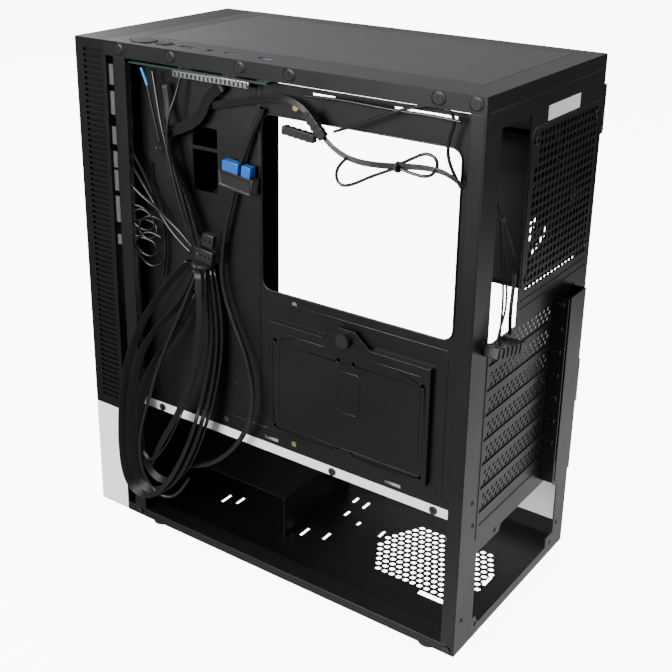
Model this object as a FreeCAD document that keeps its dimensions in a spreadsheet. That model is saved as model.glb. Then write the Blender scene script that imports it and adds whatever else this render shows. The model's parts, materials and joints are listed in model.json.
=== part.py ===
import FreeCAD
import Part
import Sketcher
import math
import os
import re
from FreeCAD import Placement, Rotation, Vector

# A mid-tower desktop computer case with its cable side open: a folded steel
# chassis, a meshed front panel, a white supply shroud and lower fascia, a hinged
# glass door, one exhaust fan, the top controls and the loose leads behind the tray.
# +Z is up, the front faces -Y, the open cable side faces +X and the glass door -X.
# The origin is the centre of the footprint, at the bottom of the feet.

SIZES = {
    # the chassis and what stands proud of it
    "case_width": 196.4, "case_depth": 345.4, "case_height": 437.6,
    "panel_depth": 33.8, "foot_height": 8.0, "ledge_reach": 12.0, "hinge_proud": 10.4,
    "steel": 1.0, "seam": 0.3,
    # base pan and its rails
    "rail_height": 8.0, "rail_width": 18.0, "window_rail": 21.0,
    "vent_rows": 13, "vent_pitch_x": 6.2, "vent_pitch_y": 6.9, "vent_size": 2.8,
    "vent_back": 25.0, "vent_columns": 15, "vent_taper": 0.55, "vent_skip": 2.0,
    "floor_slot_width": 3.0, "belt_slot_width": 6.0,
    # rear plate openings, from the cable side's face and the chassis bottom
    "rear_top": 429.4, "io_edge": 23.4, "io_width": 44.45, "io_height": 158.75, "io_base": 254.0,
    "slot_pitch": 20.32, "slot_count": 7, "slot_first": 122.0, "slot_height": 15.0,
    "slot_edge": 27.0, "slot_width": 108.0,
    "supply_edge": 28.2, "supply_width": 147.0, "supply_base": 9.5, "supply_height": 75.5,
    "supply_step": 6.0, "supply_step_run": 36.0, "supply_slope": 4.0, "supply_tab": 9.5,
    "supply_tab_far": 13.5, "supply_tab_up": 9.0, "supply_tab_tall": 17.0,
    "supply_hole_x": 138.0, "supply_hole_z": 64.0, "supply_hole_short": 114.0,
    "supply_hole_rise": 10.0, "supply_hole_edge": 33.2, "supply_hole_base": 10.3,
    "supply_hole_r": 2.1,
    "grille_edge": 76.2, "grille_width": 112.0, "grille_base": 276.0, "grille_height": 125.0,
    "grille_pitch": 6.4, "grille_hole": 4.8, "grille_corner": 0.45,
    # rear corner post, front post and the window frame
    "post_width": 11.0, "front_post": 13.0, "front_lip": 10.0, "front_slit": 9.4, "window_top": 14.0,
    "window_side": 12.0, "window_front": 27.0, "window_radius": 6.0,
    # motherboard tray
    "tray_inset": 16.7, "tray_bottom": 114.9, "tray_top": 420.6, "tray_front_gap": 10.0,
    "cooler_back": 24.5, "cooler_length": 173.0, "cooler_base": 253.0, "cooler_height": 143.0,
    "cooler_radius": 9.0, "pass_back": 242.0, "pass_length": 26.0, "pass_base": 323.0,
    "pass_height": 53.0, "pass_bar": 3.0, "pass_bar_up": 34.0,
    "notch_base": 323.0, "notch_height": 15.0, "notch_back": 314.0, "notch_width": 3.5,
    "board_hole_back": 10.8, "board_hole_mid": 154.94, "board_hole_far": 227.33,
    "board_hole_base": 122.1, "board_hole_centre": 124.46, "board_hole_top": 281.94,
    "standoff_r": 3.0, "standoff_length": 6.5, "standoff_bore": 1.5,
    "tie_slot_width": 15.0, "tie_slot_height": 3.5, "tie_slot_up": 117.5,
    "tie_slot_near": 78.0, "tie_slot_far": 197.0, "top_slit_height": 3.0, "top_slit_up": 414.5,
    # drive bracket on the tray
    "bracket_back": 38.3, "bracket_length": 148.2, "bracket_base": 131.0, "bracket_height": 98.0,
    "bracket_raise": 5.0, "tab_top": 12.0, "tab_length": 45.0, "tab_slope": 15.0, "tab_back": 52.4,
    "drive_hole_y": 61.72, "drive_hole_z": 76.6, "drive_hole_r": 1.7, "drive_hole_base": 6.0,
    "drive_hole_inset": 6.0, "drive_spacing": 75.5,
    "thumb_r": 6.0, "thumb_head": 5.0, "thumb_shank": 2.0, "thumb_up": 232.8, "thumb_back": 113.9,
    "thumb_play": 0.05,
    # supply shroud and lower fascia
    "shroud_top": 114.7, "shroud_wall": 1.2, "shroud_flange": 8.3, "shroud_left": 4.5,
    "fascia_height": 103.0, "fascia_wall": 3.0,
    # drive cage on the floor
    "cage_edge": 48.2, "cage_width": 104.0, "cage_back": 199.0, "cage_length": 120.0,
    "cage_height": 41.0, "cage_foot": 6.0,
    # front plate and panel
    "fan_opening": 57.0, "fan_hole_pitch": 105.0, "fan_hole_r": 2.2,
    "front_fan_low": 200.0, "front_fan_gap": 125.0, "edge_slot_inset": 4.0, "edge_slot_width": 7.0,
    "panel_wall": 4.0, "panel_cap": 3.0, "louvre_count": 66, "louvre_base": 9.5,
    "louvre_pitch": 4.83, "louvre_height": 2.6, "louvre_depth": 2.6, "louvre_back": 3.6,
    "louvre_length": 21.0, "mesh_thickness": 1.2, "mesh_border": 9.0,
    # roof, its filter and its controls
    "roof_flange": 12.2, "filter_edge": 34.7, "filter_width": 144.0, "filter_back": 20.0,
    "filter_length": 308.0, "filter_play": 0.5, "roof_vent_margin": 8.0, "roof_vent_count": 9,
    "roof_vent_bar": 4.0, "seat_r": 5.5, "seat_depth": 0.6, "seat_back": 5.6,
    "control_inset": 16.7, "power_back": 316.0, "power_r": 10.5, "reset_back": 294.5,
    "reset_r": 6.5, "button_play": 0.4, "button_height": 4.0, "button_proud": 0.8,
    "button_collar": 1.0, "button_travel": 1.5,
    "jack_back": 247.5, "jack_r": 3.3, "usb_length": 13.1, "usb_width": 5.7, "usb_depth": 14.0,
    "port_wall": 0.5, "usb_first_back": 271.5, "usb_second_back": 225.5, "usb_fast_back": 193.0,
    "board_drop": 15.0, "board_thickness": 1.6, "board_width": 26.0, "board_back": 182.0,
    "board_length": 152.0,
    # exhaust fan
    "fan_side": 120.0, "fan_depth": 25.0, "fan_bore": 58.0, "fan_centre_x": 34.0,
    "fan_centre_up": 340.0, "fan_radius": 6.0, "hub_r": 20.0, "blade_r": 56.5, "blade_count": 9,
    "spindle_r": 3.0, "spindle_play": 0.05, "strut_width": 4.0, "strut_depth": 3.0,
    # slot covers, ledge and screw cover
    "cover_height": 18.6, "cover_hole_pitch": 7.0, "cover_hole_width": 2.6, "cover_hole_height": 3.0,
    "cover_hole_lean": 1.4, "cover_row_pitch": 4.2, "cover_hole_start": 6.0, "cover_hole_count": 14,
    "ledge_edge": 136.2, "ledge_base": 92.0, "ledge_height": 164.0,
    "screw_cover_gap": 4.0, "screw_cover_width": 28.0, "slot_screw_up": 6.4,
    # door and hinges
    "glass": 4.0, "glass_gap": 0.5, "glass_back": 11.0, "glass_front": 2.0, "glass_edge_up": 4.0,
    "glass_radius": 3.0,
    "knuckle_r": 4.2, "knuckle_back": 5.0, "knuckle_half": 19.4, "hinge_low": 136.0,
    "hinge_high": 373.0, "leaf": 2.0, "leaf_length": 34.0, "pin_r": 2.0, "pin_play": 0.05,
    # screws, feet and the blank label
    "screw_head_r": 3.4, "screw_head_height": 1.4, "seat_screw_r": 4.0,
    "shroud_screw_near": 33.0, "shroud_screw_mid": 127.0, "shroud_screw_far": 312.0,
    "rail_screw_near": 6.5, "rail_screw_far": 330.0, "rail_screw_up": 12.0, "foot_r": 9.0, "foot_inset_x": 15.0,
    "foot_inset_y": 30.0, "label_length": 55.0, "label_height": 11.0, "label_edge": 95.0,
    "label_up": 404.0, "label_thickness": 0.2,
}

doc = FreeCAD.newDocument("desktop_tower")
sheet = doc.addObject("Spreadsheet::Sheet", "Sizes")
for row, (size_name, number) in enumerate(SIZES.items(), start=1):
    sheet.set(f"A{row}", size_name)
    sheet.set(f"B{row}", str(number))
    sheet.setAlias(f"B{row}", size_name)
doc.recompute()


class Read:
    """The sheet's values, for the shapes that are worked out in this script."""

    def __getattr__(self, name):
        return float(sheet.get(name))


size = Read()
nodes = []

# Datum planes, as expressions on the sheet and as numbers.
MIDDLE = "hinge_proud / 2"
RIGHT = "(hinge_proud / 2 + case_width / 2)"
LEFT = "(hinge_proud / 2 - case_width / 2)"
REAR = "((case_depth + panel_depth - ledge_reach) / 2)"
FRONT = f"({REAR} - case_depth)"
FACE = f"({FRONT} - panel_depth)"
ROOF = "(foot_height + case_height)"
middle = size.hinge_proud / 2
right = middle + size.case_width / 2
left = middle - size.case_width / 2
rear = (size.case_depth + size.panel_depth - size.ledge_reach) / 2
front = rear - size.case_depth
floor = size.foot_height
roof = floor + size.case_height


# ---- ways of making pieces -------------------------------------------------

def bound(expression):
    """Points every size named in an expression at the sheet."""
    return re.sub(r"[a-z][a-z_0-9]*", lambda word: "Sizes." + word.group(0), expression)


def place(piece, x="0", y="0", z="0"):
    """Binds a piece's position to three expressions."""
    for axis, expression in zip("xyz", (x, y, z)):
        piece.setExpression(f".Placement.Base.{axis}", bound(expression))


def keep(piece, label):
    """Marks a finished piece as a node of the model."""
    piece.Label = label
    nodes.append(piece)
    return piece


def box(name, x, y, z):
    """A box; each axis is a pair of expressions, its low face and its length."""
    solid = doc.addObject("Part::Box", name)
    solid.setExpression("Length", bound(x[1]))
    solid.setExpression("Width", bound(y[1]))
    solid.setExpression("Height", bound(z[1]))
    place(solid, x[0], y[0], z[0])
    return solid


TURNS = {"x": Rotation(Vector(0, 1, 0), 90), "y": Rotation(Vector(1, 0, 0), -90), "z": Rotation()}


def rod(name, axis, x, y, z, radius, length):
    """A cylinder that starts at x, y, z and runs along +axis."""
    solid = doc.addObject("Part::Cylinder", name)
    solid.Placement = Placement(Vector(), TURNS[axis])
    solid.setExpression("Radius", bound(radius))
    solid.setExpression("Height", bound(length))
    place(solid, x, y, z)
    return solid


def group(name, pieces):
    """Separate solids held as one object."""
    whole = doc.addObject("Part::Compound", name)
    whole.Links = pieces
    return whole


def fuse(name, pieces):
    """Overlapping or touching solids joined into one."""
    whole = doc.addObject("Part::MultiFuse", name)
    whole.Shapes = pieces
    whole.Refine = True
    return whole


def cut(name, base, tools):
    """A solid with one or more separate tools taken out of it."""
    whole = doc.addObject("Part::Cut", name)
    whole.Base = base
    whole.Tool = tools[0] if len(tools) == 1 else group(name + "_tools", tools)
    return whole


def rounded(name, solid, axis, radius):
    """A box with its four edges along one axis rounded."""
    doc.recompute()
    direction = Vector(*(1 if letter == axis else 0 for letter in "xyz"))
    picked = []
    for number, edge in enumerate(solid.Shape.Edges, start=1):
        run = edge.Vertexes[1].Point - edge.Vertexes[0].Point
        if abs(run.normalize().dot(direction)) > 0.99:
            picked.append((number, radius, radius))
    whole = doc.addObject("Part::Fillet", name)
    whole.Base = solid
    whole.Edges = picked
    return whole


def field(name, prisms):
    """Many small prisms as one cutting tool, for perforations and louvres."""
    tool = doc.addObject("Part::Feature", name)
    tool.Shape = Part.makeCompound(prisms)
    return tool


def prism(corners, depth):
    """A prism over a flat outline."""
    return Part.Face(Part.makePolygon(corners + corners[:1])).extrude(depth)


# ---- sketches for the PartDesign bodies -------------------------------------

def new_body(label, x="0", y="0", z="0"):
    """A body placed by three expressions."""
    body = doc.addObject("PartDesign::Body", label + "_body")
    place(body, x, y, z)
    return body


def new_sketch(body, role, name):
    """A sketch on one of the body's own origin planes."""
    planes = [plane for plane in body.Origin.OriginFeatures if plane.Role == role]
    sketch = body.newObject("Sketcher::SketchObject", name)
    sketch.AttachmentSupport = [(planes[0], "")]
    sketch.MapMode = "FlatFace"
    return sketch


def limit(sketch, constraint, expression):
    """Adds a dimension and binds it to an expression."""
    number = sketch.addConstraint(constraint)
    sketch.setExpression(f"Constraints[{number}]", bound(expression))


def draw_outline(sketch, points):
    """A closed outline; each point is a pair of expressions from the origin."""
    first = sketch.GeometryCount
    count = len(points)
    guesses = [Vector(10 * math.cos(i * 6.283 / count), 10 * math.sin(i * 6.283 / count), 0)
               for i in range(count)]
    for i in range(count):
        sketch.addGeometry(Part.LineSegment(guesses[i], guesses[(i + 1) % count]))
    for i, (across, up) in enumerate(points):
        after = first + (i + 1) % count
        sketch.addConstraint(Sketcher.Constraint("Coincident", first + i, 2, after, 1))
        limit(sketch, Sketcher.Constraint("DistanceX", -1, 1, first + i, 1, guesses[i].x), across)
        limit(sketch, Sketcher.Constraint("DistanceY", -1, 1, first + i, 1, guesses[i].y), up)


def draw_circle(sketch, across, up, radius):
    """A circle by its centre and radius, all expressions."""
    number = sketch.addGeometry(Part.Circle(Vector(1, 1, 0), Vector(0, 0, 1), 1))
    limit(sketch, Sketcher.Constraint("DistanceX", -1, 1, number, 3, 1), across)
    limit(sketch, Sketcher.Constraint("DistanceY", -1, 1, number, 3, 1), up)
    limit(sketch, Sketcher.Constraint("Radius", number, 1), radius)


def pad(body, sketch, length, backwards=False):
    """A pad of a sketch by an expression."""
    feature = body.newObject("PartDesign::Pad", sketch.Name + "_pad")
    feature.Profile = sketch
    feature.Reversed = backwards
    feature.setExpression("Length", bound(length))
    return feature


# ---- base pan, rails and feet ----------------------------------------------

def vent_field():
    """Staggered six-sided holes under the power supply."""
    prisms = []
    rows, columns = int(size.vent_rows), int(size.vent_columns)
    for row in range(rows):
        across = middle + (row - (rows - 1) / 2) * size.vent_pitch_x
        spare = abs(row - (rows - 1) / 2) * size.vent_taper - size.vent_skip
        shift = 0.5 if row % 2 else 0.0
        for column in range(columns):
            if column + shift < spare or column + shift > columns - 1 - spare:
                continue
            back = rear - size.vent_back - (column + shift) * size.vent_pitch_y
            corners = [Vector(across + size.vent_size * math.cos(math.radians(60 * k + 30)),
                              back + size.vent_size * math.sin(math.radians(60 * k + 30)),
                              floor - size.steel) for k in range(6)]
            prisms.append(prism(corners, Vector(0, 0, 3 * size.steel)))
    return field("supply_vents", prisms)


def floor_slot(name, back, across, width, length):
    """A slot right through the floor, placed from the rear and the case middle."""
    return box(name, (f"{MIDDLE} + {across}", width), (f"{REAR} - {back}", length),
               ("foot_height - steel", "3 * steel"))


# How far each slot lies from the rear and from the middle, and how long it is across.
CROSS_SLOTS = ((134, -13, 11), (271, 20, 12), (284, 24, 14), (172, 19, 12), (192, 24, 14), (178, -21, 9),
               (184, -45, 10), (171, -44, 12), (160, -12, 6))
slots = [floor_slot("belt_slot", 63, 41.4, "belt_slot_width", "foot_inset_y"),
         floor_slot("middle_slot", 25, -10, "foot_inset_y / 2", "floor_slot_width")]
for number, (back, across, run) in enumerate(CROSS_SLOTS):
    slots.append(floor_slot(f"floor_slot_{number}", back, across, str(run), "floor_slot_width"))
pan_blank = box("pan_blank", (LEFT, "case_width"), (FRONT, "case_depth"), ("foot_height", "steel"))
keep(cut("base_pan", pan_blank, [vent_field()] + slots), "base_pan")

rail_blank = box("rail_blank", (f"{RIGHT} - rail_width", "rail_width"),
                 (f"{FRONT} + steel", "case_depth - 2 * steel"), ("foot_height + steel", "rail_height - steel"))
rail_hollow = box("rail_hollow", (f"{RIGHT} - rail_width + steel", "rail_width - 2 * steel"),
                  (f"{FRONT} - steel", "case_depth + steel"), ("foot_height", "rail_height - steel"))
keep(cut("base_rail", rail_blank, [rail_hollow]), "base_rail")

feet = []
for end, y in (("front", f"{FRONT} + foot_inset_y"), ("back", f"{REAR} - foot_inset_y")):
    for side, x in (("cable", f"{RIGHT} - foot_inset_x"), ("glass", f"{LEFT} + foot_inset_x")):
        feet.append(rod(f"foot_{end}_{side}", "z", x, y, "0", "foot_r", "foot_height"))
keep(group("feet", feet), "feet")


# ---- rear plate, posts and window frame -------------------------------------

def grille_field():
    """The square grid of small holes behind the exhaust fan."""
    prisms = []
    across = int(size.grille_width // size.grille_pitch)
    up = int(size.grille_height // size.grille_pitch)
    x0 = right - size.grille_edge - size.grille_width
    x0 += (size.grille_width - (across - 1) * size.grille_pitch) / 2
    z0 = floor + size.grille_base + (size.grille_height - (up - 1) * size.grille_pitch) / 2
    half = size.grille_hole / 2
    corner = half * size.grille_corner
    for column in range(across):
        for row in range(up):
            x, z = x0 + column * size.grille_pitch, z0 + row * size.grille_pitch
            if column >= across - 1 and row >= up - 4:
                continue
            ring = [(-half, -corner), (-corner, -half), (corner, -half), (half, -corner),
                    (half, corner), (corner, half), (-corner, half), (-half, corner)]
            corners = [Vector(x + dx, rear - 2 * size.steel, z + dz) for dx, dz in ring]
            prisms.append(prism(corners, Vector(0, 3 * size.steel, 0)))
    return field("grille_holes", prisms)


REAR_CUT = (f"{REAR} - 2 * steel", "3 * steel")
io_cut = box("io_cut", (f"{RIGHT} - io_edge - io_width", "io_width"), REAR_CUT,
             ("foot_height + io_base", "io_height"))
slot_cuts = []
for number in range(int(size.slot_count)):
    slot_cuts.append(box(f"slot_cut_{number}", (f"{RIGHT} - slot_edge - slot_width", "slot_width"),
                         REAR_CUT, (f"foot_height + slot_first + {number} * slot_pitch - slot_height / 2",
                                    "slot_height")))
supply_body = new_body("supply_cut", y=f"{REAR} + steel")
supply_sketch = new_sketch(supply_body, "XZ_Plane", "supply_outline")
SUPPLY_HIGH = f"{RIGHT} - supply_edge"
SUPPLY_LOW = f"{RIGHT} - supply_edge - supply_width"
SUPPLY_BASE = "foot_height + supply_base"
SUPPLY_TOP = "foot_height + supply_base + supply_height"
draw_outline(supply_sketch, [
    (SUPPLY_LOW, f"{SUPPLY_BASE} + supply_tab_up"),
    (f"{SUPPLY_LOW} + supply_tab_far - seam", f"{SUPPLY_BASE} + supply_tab_up"),
    (f"{SUPPLY_LOW} + supply_tab_far", SUPPLY_BASE),
    (f"{SUPPLY_HIGH} - supply_tab", SUPPLY_BASE),
    (f"{SUPPLY_HIGH} - supply_tab / 2", f"{SUPPLY_BASE} + supply_tab_up - seam"),
    (SUPPLY_HIGH, f"{SUPPLY_BASE} + supply_tab_up"),
    (SUPPLY_HIGH, f"{SUPPLY_TOP} - supply_step"),
    (f"{SUPPLY_HIGH} - supply_step_run", f"{SUPPLY_TOP} - supply_step"),
    (f"{SUPPLY_HIGH} - supply_step_run - supply_slope", SUPPLY_TOP),
    (f"{SUPPLY_LOW} + supply_tab_up", SUPPLY_TOP),
    (f"{SUPPLY_LOW} + supply_tab_up", f"{SUPPLY_TOP} - supply_tab_tall + supply_slope"),
    (f"{SUPPLY_LOW} + supply_tab_up - supply_slope", f"{SUPPLY_TOP} - supply_tab_tall"),
    (SUPPLY_LOW, f"{SUPPLY_TOP} - supply_tab_tall - seam")])
pad(supply_body, supply_sketch, "3 * steel")
HOLE_X = f"{RIGHT} - supply_hole_edge"
HOLE_Z = "foot_height + supply_hole_base"
supply_holes = []
for number, (x, z) in enumerate(((HOLE_X, HOLE_Z), (f"{HOLE_X} - supply_hole_x", HOLE_Z),
                                 (f"{HOLE_X} - supply_hole_x", f"{HOLE_Z} + supply_hole_z"),
                                 (f"{HOLE_X} - supply_hole_x + supply_hole_short",
                                  f"{HOLE_Z} + supply_hole_z + supply_hole_rise"))):
    supply_holes.append(rod(f"supply_hole_{number}", "y", x, f"{REAR} - 2 * steel", z,
                            "supply_hole_r", "3 * steel"))
FAN_X = f"{MIDDLE} - fan_centre_x"
FAN_Z = "foot_height + fan_centre_up"
rear_blank = box("rear_blank", (LEFT, "case_width"), (f"{REAR} - steel", "steel"),
                 ("foot_height + steel", "rear_top - steel"))
keep(cut("rear_plate", rear_blank, [io_cut, grille_field(), supply_body] + slot_cuts + supply_holes),
     "rear_plate")

POST_TALL = ("foot_height + rail_height", "case_height - roof_flange - rail_height")
post_wall = box("post_wall", (f"{RIGHT} - steel", "steel"), (f"{REAR} - steel - post_width", "post_width"),
                POST_TALL)
post_return = box("post_return", (f"{RIGHT} - tray_inset", "tray_inset"),
                  (f"{REAR} - steel - post_width", "steel"),
                  POST_TALL)
keep(fuse("rear_post", [post_wall, post_return]), "rear_post")

front_wall = box("front_wall", (f"{RIGHT} - steel", "steel"), (f"{FRONT} + front_slit", "front_post"),
                 POST_TALL)
front_return = box("front_return", (f"{RIGHT} - front_lip", "front_lip"),
                   (f"{FRONT} + front_slit", "steel"),
                   POST_TALL)
keep(fuse("front_post", [front_wall, front_return]), "front_post")

window_blank = box("window_blank", (LEFT, "steel"), (f"{FRONT} + steel", "case_depth - 2 * steel"),
                   ("foot_height + steel", "case_height - 2 * steel"))
window_hole = box("window_hole", (f"{LEFT} - steel", "3 * steel"),
                  (f"{FRONT} + window_front", "case_depth - window_front - window_side"),
                  ("foot_height + window_rail", "case_height - window_rail - window_top"))
window_round = rounded("window_round", window_hole, "x", size.window_radius)
keep(cut("window_frame", window_blank, [window_round]), "window_frame")


# ---- motherboard tray and stand-offs ----------------------------------------

TRAY_X = f"{RIGHT} - tray_inset - steel"
tray_body = new_body("tray_blank", x=TRAY_X)
tray_sketch = new_sketch(tray_body, "YZ_Plane", "tray_outline")
TRAY_FRONT = f"{FRONT} + tray_front_gap"
TRAY_BACK = f"{REAR} - steel"
draw_outline(tray_sketch, [(TRAY_FRONT, "foot_height + tray_bottom"),
                           (TRAY_BACK, "foot_height + tray_bottom"),
                           (TRAY_BACK, "foot_height + tray_top"), (TRAY_FRONT, "foot_height + tray_top")])
for across in ("board_hole_back", "board_hole_back + board_hole_mid", "board_hole_back + board_hole_far"):
    for up in ("0", "board_hole_centre", "board_hole_top"):
        draw_circle(tray_sketch, f"{REAR} - ({across})", f"foot_height + board_hole_base + {up}",
                    "standoff_r - 2 * seam")
pad(tray_body, tray_sketch, "steel")
TRAY_CUT = (f"{TRAY_X} - steel", "3 * steel")
cooler = box("cooler_cut", TRAY_CUT, (f"{REAR} - cooler_back - cooler_length", "cooler_length"),
             ("foot_height + cooler_base", "cooler_height"))
cable_pass = box("pass_cut", TRAY_CUT, (f"{REAR} - pass_back - pass_length", "pass_length"),
                 ("foot_height + pass_base", "pass_bar_up"))
cable_pass_top = box("pass_top_cut", TRAY_CUT, (f"{REAR} - pass_back - pass_length", "pass_length"),
                     ("foot_height + pass_base + pass_bar_up + pass_bar",
                      "pass_height - pass_bar_up - pass_bar"))
light_slot = box("light_slot", TRAY_CUT, (f"{REAR} - notch_back", "notch_width"),
                 ("foot_height + notch_base", "notch_height"))
tie_slots = [box(f"tie_slot_{number}", TRAY_CUT, (f"{REAR} - {back}", "tie_slot_width"),
                 ("foot_height + tie_slot_up", "tie_slot_height"))
             for number, back in enumerate(("tie_slot_near", "tie_slot_far"))]
# How far each slit under the tray's top edge lies from the rear, and how long it is.
TOP_SLITS = ((80, 50), (150, 20), (270, 70))
top_slits = [box(f"top_slit_{number}", TRAY_CUT, (f"{REAR} - {back}", str(run)),
                 ("foot_height + top_slit_up", "top_slit_height"))
             for number, (back, run) in enumerate(TOP_SLITS)]
thumb_hole = rod("thumb_hole", "x", f"{TRAY_X} - steel", f"{REAR} - thumb_back", "foot_height + thumb_up",
                 "thumb_shank + thumb_play", "3 * steel")
keep(cut("motherboard_tray", tray_body,
         [rounded("cooler_round", cooler, "x", size.cooler_radius), cable_pass, cable_pass_top,
          light_slot, thumb_hole] + tie_slots + top_slits), "motherboard_tray")

standoffs = []
for column, across in enumerate(("0", "board_hole_mid", "board_hole_far")):
    for row, up in enumerate(("0", "board_hole_centre", "board_hole_top")):
        y, z = f"{REAR} - board_hole_back - {across}", f"foot_height + board_hole_base + {up}"
        tag = f"{column}{row}"
        collar = rod("collar" + tag, "x", f"{TRAY_X} - standoff_length", y, z, "standoff_r",
                     "standoff_length")
        neck = rod("neck" + tag, "x", TRAY_X, y, z, "standoff_r - 2 * seam", "steel")
        bore = rod("bore" + tag, "x", f"{TRAY_X} - standoff_length - seam", y, z, "standoff_bore",
                   "standoff_length")
        standoffs.append(cut("standoff" + tag, fuse("stud" + tag, [collar, neck]), [bore]))
keep(group("standoffs", standoffs), "standoffs")


# ---- drive bracket and its thumb screw --------------------------------------

BRACKET_Y = f"{REAR} - bracket_back - bracket_length"
bracket_body = new_body("bracket_face", x=f"{RIGHT} - tray_inset + bracket_raise - steel")
face_sketch = new_sketch(bracket_body, "YZ_Plane", "bracket_outline")
BASE_Z, TOP_Z = "foot_height + bracket_base", "foot_height + bracket_base + bracket_height"
TAB_NEAR = f"{REAR} - bracket_back - tab_back"
draw_outline(face_sketch, [
    (BRACKET_Y, BASE_Z), (f"{BRACKET_Y} + bracket_length", BASE_Z),
    (f"{BRACKET_Y} + bracket_length", TOP_Z), (TAB_NEAR, TOP_Z),
    (f"{TAB_NEAR} - tab_slope", f"{TOP_Z} + tab_top"),
    (f"{TAB_NEAR} - tab_length + tab_slope", f"{TOP_Z} + tab_top"),
    (f"{TAB_NEAR} - tab_length", TOP_Z), (BRACKET_Y, TOP_Z)])
draw_circle(face_sketch, f"{REAR} - thumb_back", "foot_height + thumb_up", "thumb_shank + thumb_play")
for start in ("bracket_back + drive_hole_inset", "bracket_back + drive_hole_inset + drive_spacing"):
    for step in ("0", "drive_hole_y"):
        for up in ("0", "drive_hole_z"):
            draw_circle(face_sketch, f"{REAR} - ({start}) - {step}",
                        f"{BASE_Z} + drive_hole_base + {up}", "drive_hole_r")
pad(bracket_body, face_sketch, "steel")
skirt = box("bracket_skirt", (f"{RIGHT} - tray_inset", "bracket_raise - steel"),
            (BRACKET_Y, "bracket_length"), (BASE_Z, "bracket_height"))
skirt_hollow = box("skirt_hollow", (f"{RIGHT} - tray_inset - steel", "bracket_raise + 2 * steel"),
                   (f"{BRACKET_Y} + steel", "bracket_length - 2 * steel"),
                   (f"{BASE_Z} + steel", "bracket_height - 2 * steel"))
keep(fuse("drive_bracket", [bracket_body, cut("bracket_rim", skirt, [skirt_hollow])]), "drive_bracket")

SCREW_X = f"{RIGHT} - tray_inset + bracket_raise"
screw_body = new_body("drive_thumbscrew", x=SCREW_X, y=f"{REAR} - thumb_back", z="foot_height + thumb_up")
head_sketch = new_sketch(screw_body, "YZ_Plane", "thumb_head_outline")
draw_circle(head_sketch, "0", "0", "thumb_r")
pad(screw_body, head_sketch, "thumb_head")
shank_sketch = new_sketch(screw_body, "YZ_Plane", "thumb_shank_outline")
draw_circle(shank_sketch, "0", "0", "thumb_shank")
pad(screw_body, shank_sketch, "bracket_raise + 2 * steel", backwards=True)
notch_sketch = new_sketch(screw_body, "YZ_Plane", "thumb_notch_outline")
draw_circle(notch_sketch, "thumb_r + thumb_shank / 4", "0", "thumb_shank / 2")
notch = screw_body.newObject("PartDesign::Pocket", "thumb_notch")
notch.Profile = notch_sketch
notch.Reversed = True
notch.setExpression("Length", bound("thumb_head"))
knurl = screw_body.newObject("PartDesign::PolarPattern", "thumb_knurl")
knurl.Originals = [notch]
knurl.Axis = (notch_sketch, ["N_Axis"])
knurl.Angle = 360
knurl.Occurrences = 16
screw_body.Tip = knurl
keep(screw_body, "drive_thumbscrew")


# ---- supply shroud, lower fascia and drive cage -----------------------------

SHROUD_LEFT = f"({LEFT} + shroud_left)"
SHROUD_RUN = (f"{FRONT} + steel", "case_depth - 3 * steel - seam")
shroud_top = box("shroud_lid", (SHROUD_LEFT, f"{RIGHT} - tray_inset - {SHROUD_LEFT}"), SHROUD_RUN,
                 ("foot_height + shroud_top - shroud_wall", "shroud_wall"))
shroud_side = box("shroud_side", (SHROUD_LEFT, "shroud_wall"), SHROUD_RUN,
                  ("foot_height + window_rail", "shroud_top - window_rail"))
shroud_flange = box("shroud_flange", (f"{RIGHT} - tray_inset - shroud_wall", "shroud_wall"),
                    (f"{FRONT} + tray_front_gap", "case_depth - tray_front_gap - steel"),
                    ("foot_height + shroud_top - shroud_flange", "shroud_flange"))
keep(fuse("supply_shroud", [shroud_top, shroud_side, shroud_flange]), "supply_shroud")

fascia_blank = box("fascia_blank", (LEFT, "case_width"), (FACE, "panel_depth"),
                   ("foot_height", "fascia_height"))
fascia_hollow = box("fascia_hollow", (f"{LEFT} + fascia_wall", "case_width - 2 * fascia_wall"),
                    (f"{FACE} + fascia_wall", "panel_depth"),
                    ("foot_height + fascia_wall", "fascia_height - 2 * fascia_wall"))
keep(cut("lower_fascia", fascia_blank, [fascia_hollow]), "lower_fascia")

CAGE_X = (f"{RIGHT} - cage_edge - cage_width", "cage_width")
CAGE_Y = (f"{REAR} - cage_back - cage_length", "cage_length")
CAGE_Z = ("foot_height + steel", "cage_height")
cage_blank = box("cage_blank", CAGE_X, CAGE_Y, CAGE_Z)
cage_hollow = box("cage_hollow", (f"{CAGE_X[0]} - steel", "cage_width + 2 * steel"),
                  (f"{CAGE_Y[0]} + steel", "cage_length - 2 * steel"),
                  ("foot_height", "cage_height"))
cage_feet = [box(f"cage_foot_{number}", (f"{CAGE_X[0]} + cage_foot", "cage_width - 2 * cage_foot"),
                 (y, "cage_foot + steel"), ("foot_height + steel", "steel"))
             for number, y in enumerate((f"{CAGE_Y[0]} - cage_foot", f"{CAGE_Y[0]} + cage_length - steel"))]
keep(fuse("drive_cage", [cut("cage_arch", cage_blank, [cage_hollow])] + cage_feet), "drive_cage")


# ---- front plate, front panel and its mesh ----------------------------------

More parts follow.
